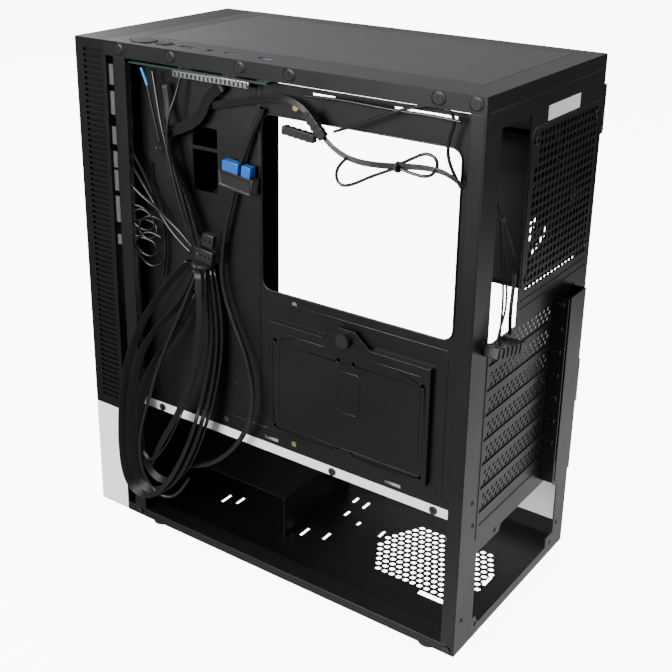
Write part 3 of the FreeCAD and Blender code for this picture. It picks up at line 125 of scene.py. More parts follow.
def bevel_sharp(piece: Obj, offset: float, segments: int = 2) -> None:
    """Rounds the sharp edges of a piece in edit mode."""
    take(piece)
    bpy.ops.object.mode_set(mode="EDIT")
    bpy.ops.mesh.select_mode(type="EDGE")
    bpy.ops.mesh.select_all(action="DESELECT")
    bpy.ops.mesh.edges_select_sharp(sharpness=math.radians(50))
    bpy.ops.mesh.bevel(offset=offset, segments=segments, affect="EDGES")
    bpy.ops.object.mode_set(mode="OBJECT")


def pick_faces(piece: Obj, normal: Vector, least: float = 0.98) -> None:
    """Enters edit mode with only the faces that look along a direction selected."""
    take(piece)
    bpy.ops.object.mode_set(mode="EDIT")
    bpy.ops.mesh.select_mode(type="FACE")
    bpy.ops.mesh.select_all(action="DESELECT")
    mesh = bmesh.from_edit_mesh(piece.data)
    for face in mesh.faces:
        face.select_set(face.normal.dot(normal) > least)
    bmesh.update_edit_mesh(piece.data)


def bar(name: str, low: Vector, high: Vector, rounding: float, segments: int = 2) -> Obj:
    """A rounded block between two corners.

    Args:
        name: the piece's name.
        low: its lowest corner.
        high: its highest corner.
        rounding: the radius of its edges.
        segments: how many faces make each rounding.

    Returns:
        The new object.
    """
    settle()
    bpy.ops.mesh.primitive_cube_add(size=1.0, location=(low + high) / 2)
    piece = bpy.context.active_object
    piece.scale = high - low
    rest(piece, name)
    bevel_sharp(piece, rounding, segments)
    return rest(piece, name)


def drum(name: str, centre: Vector, radius: float, depth: float, along: Vector,
         rounding: float, sides: int = 32) -> Obj:
    """A round piece about a direction, with rounded rims.

    Args:
        name: the piece's name.
        centre: the middle of the piece.
        radius: its radius.
        depth: its length along the axis.
        along: the direction of the axis.
        rounding: the radius of both rims.
        sides: how many sides the round has.

    Returns:
        The new object.
    """
    settle()
    turn = OUT_Z.rotation_difference(along).to_euler()
    bpy.ops.mesh.primitive_cylinder_add(vertices=sides, radius=radius, depth=depth,
                                        location=centre, rotation=turn)
    piece = bpy.context.active_object
    rest(piece, name)
    bevel_sharp(piece, rounding)
    return rest(piece, name)


def joined(name: str, pieces: list[Obj]) -> Obj:
    """Joins pieces into one object of a given name."""
    settle()
    for piece in pieces:
        piece.select_set(True)
    bpy.context.view_layer.objects.active = pieces[0]
    if len(pieces) > 1:
        bpy.ops.object.join()
    return rest(bpy.context.active_object, name)


def strip(name: str, start: Vector, end: Vector, normal: Vector, width: float,
          height: float) -> Obj:
    """A low rounded rib that lies on a sheet from one point to another.

    Args:
        name: the piece's name.
        start: where the rib's middle line starts, on the sheet.
        end: where it ends.
        normal: the direction that the sheet looks in.
        width: the rib's width.
        height: how far it stands proud.

    Returns:
        The new object.
    """
    settle()
    along = end - start
    side = normal.cross(along).normalized()
    frame_turn = Matrix((along.normalized(), side, normal)).transposed()
    bpy.ops.mesh.primitive_cube_add(size=1.0, location=(start + end) / 2)
    piece = bpy.context.active_object
    piece.rotation_euler = frame_turn.to_euler()
    piece.scale = (along.length + width, width, 2 * height)
    rest(piece, name)
    bevel_sharp(piece, min(height, width / 2) * 0.9)
    return rest(piece, name)


def wear(piece: Obj, material: Mat, body: Body = Body.CHASSIS,
         nodes: tuple[str, ...] = ()) -> Obj:
    """Dresses a new piece and ties it to its body, its finish and what it stands for.

    Args:
        piece: the new piece.
        material: its material.
        body: the body that it rides on.
        nodes: the plain solids that it stands for.

    Returns:
        The same object.
    """
    piece.data.materials.clear()
    piece.data.materials.append(material)
    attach(piece, body.value)
    if nodes:
        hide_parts(*nodes)
    LOG.info("%s rides %s", piece.name, body.value)
    return piece


def corner(node: str) -> tuple[Vector, Vector]:
    """The lowest and highest corners of a node of the frame."""
    low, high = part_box(node)
    return Vector(low), Vector(high)


# ---- finishes ----------------------------------------------------------------

def new_group(name: str, inputs: dict[str, str], outputs: dict[str, str]) -> Tree:
    """An empty shader group with named sockets.

    Args:
        name: the group's name.
        inputs: each input's name and socket kind.
        outputs: each output's name and socket kind.

    Returns:
        The group, with its input and output nodes in place.
    """
    tree = bpy.data.node_groups.new(name, "ShaderNodeTree")
    for label, kind in inputs.items():
        tree.interface.new_socket(label, in_out="INPUT", socket_type=kind)
    for label, kind in outputs.items():
        tree.interface.new_socket(label, in_out="OUTPUT", socket_type=kind)
    tree.nodes.new("NodeGroupInput").name = "in"
    tree.nodes.new("NodeGroupOutput").name = "out"
    return tree


def link(tree: Tree, source: Socket, target: Socket) -> None:
    """Links two sockets of a tree."""
    tree.links.new(source, target)


def feed(tree: Tree, node: bpy.types.Node, given: dict[str | int, object]) -> None:
    """Gives each named input of a node a value or a link."""
    for name, value in given.items():
        if isinstance(value, Socket):
            link(tree, value, node.inputs[name])
        else:
            node.inputs[name].default_value = value


def maths(tree: Tree, operation: str, first: float | Socket, second: float | Socket) -> Socket:
    """The output of a new math node on two values or sockets."""
    node = tree.nodes.new("ShaderNodeMath")
    node.operation = operation
    feed(tree, node, {0: first, 1: second})
    return node.outputs[0]


def vector_maths(tree: Tree, operation: str, given: dict[str | int, object]) -> bpy.types.Node:
    """A new vector math node with its inputs given."""
    node = tree.nodes.new("ShaderNodeVectorMath")
    node.operation = operation
    feed(tree, node, given)
    return node


def fade(tree: Tree, value: Socket, span: tuple[object, object], ends: Spot) -> Socket:
    """The output of a new smooth step from one value to another.

    Args:
        tree: the tree that gets the node.
        value: what is measured.
        span: where the step starts and ends.
        ends: the values before and after it.

    Returns:
        The node's output.
    """
    node = tree.nodes.new("ShaderNodeMapRange")
    node.interpolation_type = "SMOOTHSTEP"
    feed(tree, node, {"Value": value, "From Min": span[0], "From Max": span[1],
                      "To Min": ends[0], "To Max": ends[1]})
    return node.outputs[0]


def seen_straight(tree: Tree) -> Socket:
    """Whether the camera sees this straight on or through glass."""
    path = tree.nodes.new("ShaderNodeLightPath")
    bounced = maths(tree, "SUBTRACT", path.outputs["Ray Depth"],
                    path.outputs["Transmission Depth"])
    return maths(tree, "MAXIMUM", path.outputs["Is Camera Ray"],
                 maths(tree, "LESS_THAN", bounced, 0.5))


def grain_group() -> Tree:
    """Fine powder-coat or moulded grain with a faint cloud of tone.

    Returns:
        A group with Colour, Roughness and Height outputs.
    """
    tree = new_group("surface_grain",
                     {"Colour": "NodeSocketColor", "Spread": "NodeSocketFloat",
                      "Scale": "NodeSocketFloat", "Roughness": "NodeSocketFloat"},
                     {"Colour": "NodeSocketColor", "Roughness": "NodeSocketFloat",
                      "Height": "NodeSocketFloat"})
    given, result = tree.nodes["in"], tree.nodes["out"]
    where = tree.nodes.new("ShaderNodeTexCoord")
    fine = tree.nodes.new("ShaderNodeTexNoise")
    fine.inputs["Detail"].default_value = 3.0
    cloud = tree.nodes.new("ShaderNodeTexNoise")
    cloud.inputs["Scale"].default_value = 14.0
    cloud.inputs["Detail"].default_value = 4.0
    for texture in (fine, cloud):
        link(tree, where.outputs["Object"], texture.inputs["Vector"])
    link(tree, given.outputs["Scale"], fine.inputs["Scale"])
    both = maths(tree, "ADD", fine.outputs["Fac"], cloud.outputs["Fac"])
    swing = maths(tree, "MULTIPLY", maths(tree, "SUBTRACT", both, 1.0), given.outputs["Spread"])
    gain = maths(tree, "ADD", swing, 1.0)
    tint = vector_maths(tree, "SCALE", {0: given.outputs["Colour"], "Scale": gain})
    link(tree, tint.outputs[0], result.inputs["Colour"])
    patchy = maths(tree, "SUBTRACT", cloud.outputs["Fac"], 0.5)
    rough = maths(tree, "ADD", given.outputs["Roughness"], maths(tree, "MULTIPLY", patchy, 0.22))
    link(tree, rough, result.inputs["Roughness"])
    link(tree, fine.outputs["Fac"], result.inputs["Height"])
    return tree


HOLE_EDGE = 0.1


def hole_group() -> Tree:
    """A square grid of small holes over a plane.

    Returns:
        A group whose Mask is 1 on the wires and 0 in the holes.
    """
    tree = new_group("hole_grid",
                     {"Vector": "NodeSocketVector", "Plane": "NodeSocketVector",
                      "Count": "NodeSocketFloat", "Hole": "NodeSocketFloat"},
                     {"Mask": "NodeSocketFloat"})
    given, result = tree.nodes["in"], tree.nodes["out"]
    spread = vector_maths(tree, "SCALE", {0: given.outputs["Vector"],
                                          "Scale": given.outputs["Count"]})
    part = vector_maths(tree, "FRACTION", {0: spread.outputs[0]})
    centred = vector_maths(tree, "SUBTRACT", {0: part.outputs[0], 1: (0.5, 0.5, 0.5)})
    flat = vector_maths(tree, "MULTIPLY", {0: centred.outputs[0], 1: given.outputs["Plane"]})
    far = vector_maths(tree, "LENGTH", {0: flat.outputs[0]})
    hole = given.outputs["Hole"]
    wire = fade(tree, far.outputs["Value"], (hole, maths(tree, "ADD", hole, HOLE_EDGE)),
                (0.0, 1.0))
    link(tree, wire, result.inputs["Mask"])
    return tree


GRAIN = grain_group()
HOLES = hole_group()


@dataclass(frozen=True)
class Finish:
    """A painted, moulded or metal surface with a fine grain."""

    name: str
    colour: Point
    roughness: float
    metallic: float = 0.0
    spread: float = 0.12
    scale: float = 900.0
    depth: float = 0.00002
    coat: float = 0.0
    specular: float = 0.5

    def start(self) -> tuple[Mat, Tree, bpy.types.Node, bpy.types.Node]:
        """Makes the material with its grain.

        Returns:
            The material, its tree, its main shader and its grain node.
        """
        material = bpy.data.materials.new(self.name)
        material.use_nodes = True
        tree = material.node_tree
        shader = tree.nodes["Principled BSDF"]
        feed(tree, shader, {"Metallic": self.metallic, "Coat Weight": self.coat,
                            "Coat Roughness": 0.2, "Specular IOR Level": self.specular})
        grain = tree.nodes.new("ShaderNodeGroup")
        grain.node_tree = GRAIN
        feed(tree, grain, {"Colour": (*self.colour, 1.0), "Spread": self.spread,
                           "Scale": self.scale, "Roughness": self.roughness})
        link(tree, grain.outputs["Roughness"], shader.inputs["Roughness"])
        return material, tree, shader, grain

    def emboss(self, tree: Tree, shader: bpy.types.Node, height: Socket, strength: float,
               depth: float) -> None:
        """Raises the surface by a height pattern."""
        bump = tree.nodes.new("ShaderNodeBump")
        feed(tree, bump, {"Strength": strength, "Distance": depth, "Height": height})
        link(tree, bump.outputs["Normal"], shader.inputs["Normal"])

    def two_tone(self, tree: Tree, shader: bpy.types.Node, grain: bpy.types.Node, mask: Socket,
                 dark: Point) -> None:
        """Colours the surface: dark where the mask is 0, the finish's own colour where it is 1."""
        tint = tree.nodes.new("ShaderNodeMix")
        tint.data_type = "RGBA"
        feed(tree, tint, {0: mask, 6: (*dark, 1.0), 7: grain.outputs["Colour"]})
        link(tree, tint.outputs[2], shader.inputs["Base Color"])

    def build(self) -> Mat:
        """Makes the finished material.

        Returns:
            The material.
        """
        material, tree, shader, grain = self.start()
        link(tree, grain.outputs["Colour"], shader.inputs["Base Color"])
        self.emboss(tree, shader, grain.outputs["Height"], 0.6, self.depth)
        return material


@dataclass(frozen=True)
class MeshFinish(Finish):
    """A fine punched or woven screen, its holes painted dark as shade."""

    plane: Point = (1.0, 1.0, 0.0)
    pitch: float = 0.0019
    hole: float = 0.3
    # The painted shade colour put into the holes.
    shadow: Point = (0.004, 0.004, 0.0042)

    def build(self) -> Mat:
        """Makes the finished material.

        Returns:
            The material.
        """
        material, tree, shader, grain = self.start()
        where = tree.nodes.new("ShaderNodeTexCoord")
        grid = tree.nodes.new("ShaderNodeGroup")
        grid.node_tree = HOLES
        feed(tree, grid, {"Vector": where.outputs["Object"], "Plane": self.plane,
                          "Count": 1.0 / self.pitch, "Hole": self.hole})
        # The holes get the painted shade colour, the wires the finish's own colour.
        self.two_tone(tree, shader, grain, grid.outputs["Mask"], self.shadow)
        self.emboss(tree, shader, grid.outputs["Mask"], 0.7, 0.0004)
        return material


@dataclass(frozen=True)
class TipFinish(Finish):
    """A bright sleeve at the top of a dark lead."""

    sleeve: float = 0.413
    dark: Point = (0.008, 0.008, 0.009)

    def build(self) -> Mat:
        """Makes the finished material.

        Returns:
            The material.
        """
        material, tree, shader, grain = self.start()
        where = tree.nodes.new("ShaderNodeTexCoord")
        split = tree.nodes.new("ShaderNodeSeparateXYZ")
        link(tree, where.outputs["Object"], split.inputs[0])
        self.two_tone(tree, shader, grain,
                      maths(tree, "GREATER_THAN", split.outputs["Z"], self.sleeve), self.dark)
        return material


@dataclass(frozen=True)
class ClearGlass:
    """Tempered glass with a faint green cast."""

    name: str = "clear_glass"
    colour: Point = (0.955, 0.975, 0.968)

    def build(self) -> Mat:
        """Makes the glass.

        Returns:
            The material.
        """
        material = bpy.data.materials.new(self.name)
        material.use_nodes = True
        feed(material.node_tree, material.node_tree.nodes["Principled BSDF"],
             {"Base Color": (*self.colour, 1.0), "Roughness": 0.0, "Transmission Weight": 1.0,
              "IOR": 1.45})
        return material


FINISHES: tuple[Finish | ClearGlass, ...] = (
    Finish("black_steel", (0.0028, 0.0029, 0.0031), 0.38, spread=0.14, scale=1400.0,
           depth=0.00003, specular=0.4),
    Finish("white_steel", (0.88, 0.88, 0.875), 0.42, spread=0.03, scale=1400.0),
    Finish("white_plastic", (0.9, 0.9, 0.895), 0.38, spread=0.03, scale=800.0),
    Finish("black_plastic", (0.0035, 0.0035, 0.0037), 0.45, spread=0.15, scale=700.0,
           depth=0.00004, specular=0.2),
    MeshFinish("black_mesh", (0.014, 0.014, 0.0145), 0.5, spread=0.1),
    Finish("rubber_feet", (0.012, 0.012, 0.012), 0.8, spread=0.2, scale=500.0),
    Finish("brass", (0.78, 0.58, 0.26), 0.3, metallic=1.0, spread=0.1, scale=2500.0),
    Finish("dark_screw", (0.03, 0.03, 0.031), 0.28, metallic=0.5, spread=0.2, scale=2500.0),
    Finish("bright_screw", (0.03, 0.03, 0.032), 0.3, metallic=0.8, spread=0.2, scale=2500.0),
    Finish("pin_steel", (0.5, 0.5, 0.51), 0.3, metallic=1.0, spread=0.08, scale=2000.0),
    Finish("board", (0.012, 0.03, 0.018), 0.35, spread=0.25, scale=300.0, coat=0.4),
    Finish("port_metal", (0.72, 0.72, 0.74), 0.24, metallic=1.0, spread=0.06, scale=1500.0),
    Finish("label_paper", (0.72, 0.72, 0.70), 0.55, spread=0.05, scale=1200.0),
    Finish("cord_black", (0.007, 0.007, 0.0075), 0.3, spread=0.25, scale=600.0, depth=0.00004),
    TipFinish("cord_blue", (0.02, 0.26, 0.62), 0.4, spread=0.15, scale=600.0),
    Finish("plug_black", (0.006, 0.006, 0.0063), 0.42, spread=0.2, scale=900.0),
    Finish("plug_blue", (0.002, 0.09, 0.38), 0.4, spread=0.12, scale=900.0),
    Finish("tie_black", (0.014, 0.014, 0.014), 0.55, spread=0.2, scale=700.0),
    ClearGlass(),
    MeshFinish("front_screen", (0.014, 0.014, 0.0145), 0.5, spread=0.1, plane=(1.0, 0.0, 1.0),
               pitch=0.0016),
    MeshFinish("pale_screen", (0.09, 0.09, 0.09), 0.5, spread=0.1, plane=(0.0, 1.0, 1.0),
               pitch=0.0014, hole=0.22),
)


OWN_FINISH = {"front_mesh": "front_screen"}


class Paintbox:
    """Builds each finish once and dresses the frame's own nodes with them."""

    def __init__(self) -> None:
        """Builds every material."""
        self.materials: dict[str, Mat] = {finish.name: finish.build() for finish in FINISHES}

    def __getitem__(self, name: str) -> Mat:
        """The material of a finish."""
        return self.materials[name]

    def dress(self) -> None:
        """Gives every node of the frame its finish."""
        for row in frame["record"]["subparts"]:
            node = frame["nodes"][row["node"]]
            material = self.materials[OWN_FINISH.get(row["node"], row["material_slot"])]
            if not node.material_slots:
                node.data.materials.append(material)
            for slot in node.material_slots:
                slot.material = material
        LOG.info("%d nodes dressed", len(frame["nodes"]))

    def soften(self, nodes: dict[str, float]) -> None:
        """Rounds the edges of plain nodes a little, so that they catch the light."""
        for name, width in nodes.items():
            node = frame["nodes"][name]
            weld = node.modifiers.new("weld", "WELD")
            weld.merge_threshold = 0.00001
            edge = node.modifiers.new("edge", "BEVEL")
            edge.width = width
            edge.segments = 2
            edge.limit_method = "ANGLE"
            edge.angle_limit = math.radians(50)
            edge.use_clamp_overlap = True
            edge.harden_normals = True


# ---- the studio --------------------------------------------------------------

@dataclass
class Studio:
    """The pale floor, the soft light and the camera.

    What is seen straight on is bright. What mirrors in the case is dimmer: a glow low on the
    far side, and a painted pool of light glowing on the floor behind the rear, over a floor
    painted dark as shade.
    """

    eye: Point = (0.75477, 0.51360, 0.60493)
    heading: float = 215.984
    dip: float = 20.219
    tilt: float = 0.413
    lens: float = 61.455
    shift: Spot = (0.04504, -0.12446)
    glow: Point = (-0.75, -0.55, 0.35)
    dim: float = 0.10
    bright: float = 0.5
    backdrop: float = 12.0
    floor_glow: float = 9.0
    # The painted pool of light that glows on the floor, seen only in reflections.
    pool: Point = (-0.15, 0.40, 0.0)
    pool_bright: float = 1.0
    lights: list[tuple[str, Point, Point, float, float]] = field(default_factory=lambda: [
        ("top_softbox", (0.1, 0.3, 1.7), (0.0, 0.0, 0.2), 1.6, 30.0),
        ("cable_side_softbox", (1.9, -0.5, 1.0), (0.1, 0.0, 0.2), 1.2, 90.0),
        ("rear_softbox", (-0.4, 1.9, 1.1), (0.0, 0.1, 0.2), 1.2, 20.0),
        ("front_softbox", (-0.6, -1.9, 1.2), (0.0, 0.0, 0.2), 1.4, 40.0)])

    def camera(self) -> None:
        """Makes the camera."""
        yaw, pitch, roll = (math.radians(a) for a in (self.heading, self.dip, self.tilt))
        ahead = Vector((math.cos(yaw) * math.cos(pitch), math.sin(yaw) * math.cos(pitch),
                        -math.sin(pitch)))
        right = ahead.cross(OUT_Z).normalized()
        up = right.cross(ahead)
        right, up = (math.cos(roll) * right + math.sin(roll) * up,
                     -math.sin(roll) * right + math.cos(roll) * up)
        data = bpy.data.cameras.new("camera")
        data.lens = self.lens
        data.sensor_width = 36.0
        data.shift_x, data.shift_y = self.shift
        data.clip_start = 0.02
        camera = bpy.data.objects.new("camera", data)
        turn = Matrix((right, up, -ahead)).transposed().to_4x4()
        camera.matrix_world = Matrix.Translation(Vector(self.eye)) @ turn
        bpy.context.scene.collection.objects.link(camera)
        bpy.context.scene.camera = camera

    def softbox(self, name: str, place: Point, aim: Point, size: float, power: float) -> None:
        """A square area light aimed at a point.

        Args:
            name: the light's name.
            place: where it stands.
            aim: what it looks at.
            size: the length of its side.
            power: its power in watts.
        """
        data = bpy.data.lights.new(name, "AREA")
        data.size = size
        data.energy = power
        lamp = bpy.data.objects.new(name, data)
        look = (Vector(aim) - Vector(place)).to_track_quat("-Z", "Y")
        lamp.matrix_world = Matrix.Translation(Vector(place)) @ look.to_matrix().to_4x4()
        bpy.context.scene.collection.objects.link(lamp)

    def surroundings(self) -> None:
        """Makes the pale world: bright where it is looked at, softer as a light."""
        world = bpy.data.worlds.new("studio")
        world.use_nodes = True
        bpy.context.scene.world = world
        tree = world.node_tree
        back = tree.nodes["Background"]
        back.inputs["Color"].default_value = (1.0, 1.0, 1.0, 1.0)
        where = tree.nodes.new("ShaderNodeTexCoord")
        toward = vector_maths(tree, "DOT_PRODUCT", {0: where.outputs["Generated"],
                                                    1: Vector(self.glow).normalized()})
        light = fade(tree, toward.outputs["Value"], (0.1, 1.0), (self.dim, self.bright))
        power = tree.nodes.new("ShaderNodeMix")
        power.data_type = "FLOAT"
        feed(tree, power, {0: seen_straight(tree), 2: light, 3: self.backdrop})
        link(tree, power.outputs[0], back.inputs["Strength"])

    def floor(self) -> None:
        """Makes the pale floor: evenly bright straight on; in reflections, painted dark as shade
        with a painted pool of light behind the rear.
        """
        settle()
        bpy.ops.mesh.primitive_plane_add(size=8.0, location=(0.0, 0.0, -0.0005))
        ground = bpy.context.active_object
        ground.name = "floor"
        material = bpy.data.materials.new("pale_floor")
        material.use_nodes = True
        tree = material.node_tree
        shader = tree.nodes["Principled BSDF"]
        seen = seen_straight(tree)
        feed(tree, shader, {"Base Color": (0.88, 0.88, 0.88, 1.0), "Roughness": 0.8,
                            "Specular IOR Level": 0.1, "Emission Color": (1.0, 1.0, 1.0, 1.0),
                            "Emission Strength": self.floor_glow})
        where = tree.nodes.new("ShaderNodeTexCoord")
        away = vector_maths(tree, "DISTANCE", {0: where.outputs["Object"], 1: self.pool})
        # Seen only in reflections: a floor painted dark as shade, and a painted pool of light
        # glowing behind the rear.
        painted_shade_floor = tree.nodes.new("ShaderNodeBsdfDiffuse")
        painted_pool_glow = tree.nodes.new("ShaderNodeEmission")
        both = tree.nodes.new("ShaderNodeAddShader")
        pick = tree.nodes.new("ShaderNodeMixShader")
        feed(tree, painted_shade_floor, {"Color": (0.1, 0.1, 0.1, 1.0)})
        feed(tree, painted_pool_glow, {"Strength": fade(tree, away.outputs["Value"], (0.25, 0.75),
                                          (self.pool_bright, 0.0))})
        feed(tree, both, {0: painted_shade_floor.outputs[0], 1: painted_pool_glow.outputs[0]})
        feed(tree, pick, {0: seen, 1: both.outputs[0], 2: shader.outputs[0]})
        link(tree, pick.outputs[0], tree.nodes["Material Output"].inputs["Surface"])
        ground.data.materials.append(material)

    def build(self) -> None:
        """Sets up camera, world, lights and floor."""
        self.camera()
        self.surroundings()
        self.floor()
        for light in self.lights:
            self.softbox(*light)
        LOG.info("studio with %d lights", len(self.lights))


# ---- loose leads -------------------------------------------------------------

@dataclass
class Lead:
    """A free lead behind the tray: one round lead, or a ribbon of thin wires.

    Its width and its route are given in millimetres. Some are too fine to be in the frame.
    """

    name: str
    width: float
    route: list[Point]
    wires: int = 1
    lean: Spot = (0.0, 0.0)
    finish: str = "cord_black"
    stiffness: Stiffness = Stiffness.LIMP

    def __post_init__(self) -> None:
        """Names the piece and turns the millimetres into metres."""
        self.piece = self.name + "_cable"
        self.width *= MM
        self.route = [tuple(MM * part for part in place) for place in self.route]

    def line(self) -> Obj:
        """The lead's middle line.

        Returns:
            A smooth open curve whose control points are the route.
        """
        data = bpy.data.curves.new(self.piece, "CURVE")
        data.dimensions = "3D"
        data.resolution_u = 6
        spline = data.splines.new("NURBS")
        spline.points.add(len(self.route) - 1)
        for point, place in zip(spline.points, self.route):
            point.co = (*place, 1.0)
        spline.order_u = 3
        spline.use_endpoint_u = True
        curve = bpy.data.objects.new(self.piece, data)
        bpy.context.scene.collection.objects.link(curve)
        return curve

    def points(self, curve: Obj) -> list[Vector]:
        """The points that the bare curve runs through."""
        bpy.context.view_layer.update()
        mesh = bpy.data.meshes.new_from_object(
            curve.evaluated_get(bpy.context.evaluated_depsgraph_get()))
        found = [vertex.co.copy() for vertex in mesh.vertices]
        bpy.data.meshes.remove(mesh)
        return found

    def ribbon(self, points: list[Vector]) -> Obj:
        """A flat ribbon of thin wires side by side along the line.

        Args:
            points: the line's points.

        Returns:
            The new mesh object.
        """
        sides = 6
        pitch = self.width / self.wires
        radius = pitch * 0.52
        vertices: list[Vector] = []
        faces: list[tuple[int, ...]] = []
        count = len(points)
        side = OUT_X
        frames: list[tuple[Vector, Vector]] = []
        for i, point in enumerate(points):
            along = (points[min(i + 1, count - 1)] - points[max(i - 1, 0)]).normalized()
            side = (side - along * side.dot(along)).normalized()
            share = i / (count - 1)
            turn = math.radians(self.lean[0] + (self.lean[1] - self.lean[0]) * share)
            across = Matrix.Rotation(turn + math.pi / 2, 3, along) @ side
            frames.append((across, along.cross(across)))
        for wire in range(self.wires):
            offset = (wire - (self.wires - 1) / 2) * pitch
            first = len(vertices)
            for point, (across, up) in zip(points, frames):
                for k in range(sides):
                    angle = math.tau * k / sides
                    vertices.append(point + across * (offset + radius * math.cos(angle))
                                    + up * (radius * math.sin(angle)))
            for i in range(count - 1):
                for k in range(sides):
                    a = first + i * sides + k
                    b = first + i * sides + (k + 1) % sides
                    faces.append((a, b, b + sides, a + sides))
            faces.append(tuple(first + k for k in reversed(range(sides))))
            faces.append(tuple(first + (count - 1) * sides + k for k in range(sides)))
        mesh = bpy.data.meshes.new(self.piece)
        mesh.from_pydata(vertices, [], faces)
        mesh.shade_smooth()
        piece = bpy.data.objects.new(self.piece, mesh)
        bpy.context.scene.collection.objects.link(piece)
        return piece

    def build(self, paint: Paintbox, plugs: dict[str, list[Obj]]) -> Obj:
        """Args:
            paint: the finishes.
            plugs: the pieces that sit on leads, by the lead's name; not used.

        Returns:
            The lead.
        """
        curve = self.line()
        points = self.points(curve)
        if self.wires == 1:
            piece = curve
            piece.data.bevel_depth = self.width / 2
            piece.data.bevel_resolution = 3
        else:
            bpy.data.objects.remove(curve)
            piece = self.ribbon(points)
        wear(piece, paint[self.finish],
             nodes=(self.name,) if self.name in frame["nodes"] else ())
        return piece


# ---- fine fittings -----------------------------------------------------------

def slab(name: str, near: Point, far: Point, width: float, height: float, rounding: float) -> Obj:
    """A rounded block that runs from one point to another.

    Args:
        name: the piece's name.
        near: the middle of its first end.
        far: the middle of its other end.
        width: its size across, along X where it can be.
        height: its size in the third direction.
        rounding: the radius of its edges.

    Returns:
        The new object.
    """
    settle()
    start, end = Vector(near), Vector(far)
    along = (end - start).normalized()
    across = OUT_X - along * along.x
    if across.length < 0.3:
        across = OUT_Y - along * along.y
    across.normalize()
    turn = Matrix((across, along.cross(across), along)).transposed()
    bpy.ops.mesh.primitive_cube_add(size=1.0, location=(start + end) / 2)
    piece = bpy.context.active_object
    piece.rotation_euler = turn.to_euler()
    piece.scale = (width, height, (end - start).length)
    rest(piece, name)
    bevel_sharp(piece, rounding)
    return rest(piece, name)


def band(name: str, centre: Point, along: Point, radius: float, width: float) -> Obj:
    """A tie round a bundle, with its head.

    Args:
        name: the piece's name.
        centre: the middle of the band.
        along: the bundle's direction there.
        radius: the band's radius.
        width: the band's width along the bundle.

    Returns:
        The new object.
    """
    line = Vector(along).normalized()
    ring = drum(name, Vector(centre), radius, width, line, width * 0.2)
    pick_faces(ring, line)
    bpy.ops.mesh.inset(thickness=radius * 0.12, depth=0.0)
    bpy.ops.object.mode_set(mode="OBJECT")
    out = (OUT_X - line * line.x).normalized()
    head = Vector(centre) + out * radius
    lock = slab(name + "_lock", tuple(head - line * width * 0.5), tuple(head + line * width * 0.5),
                width * 1.1, width * 1.5, width * 0.2)
    return joined(name, [ring, lock])


CONTACT = Vector((0.0003, 0.0008, 0.0011))


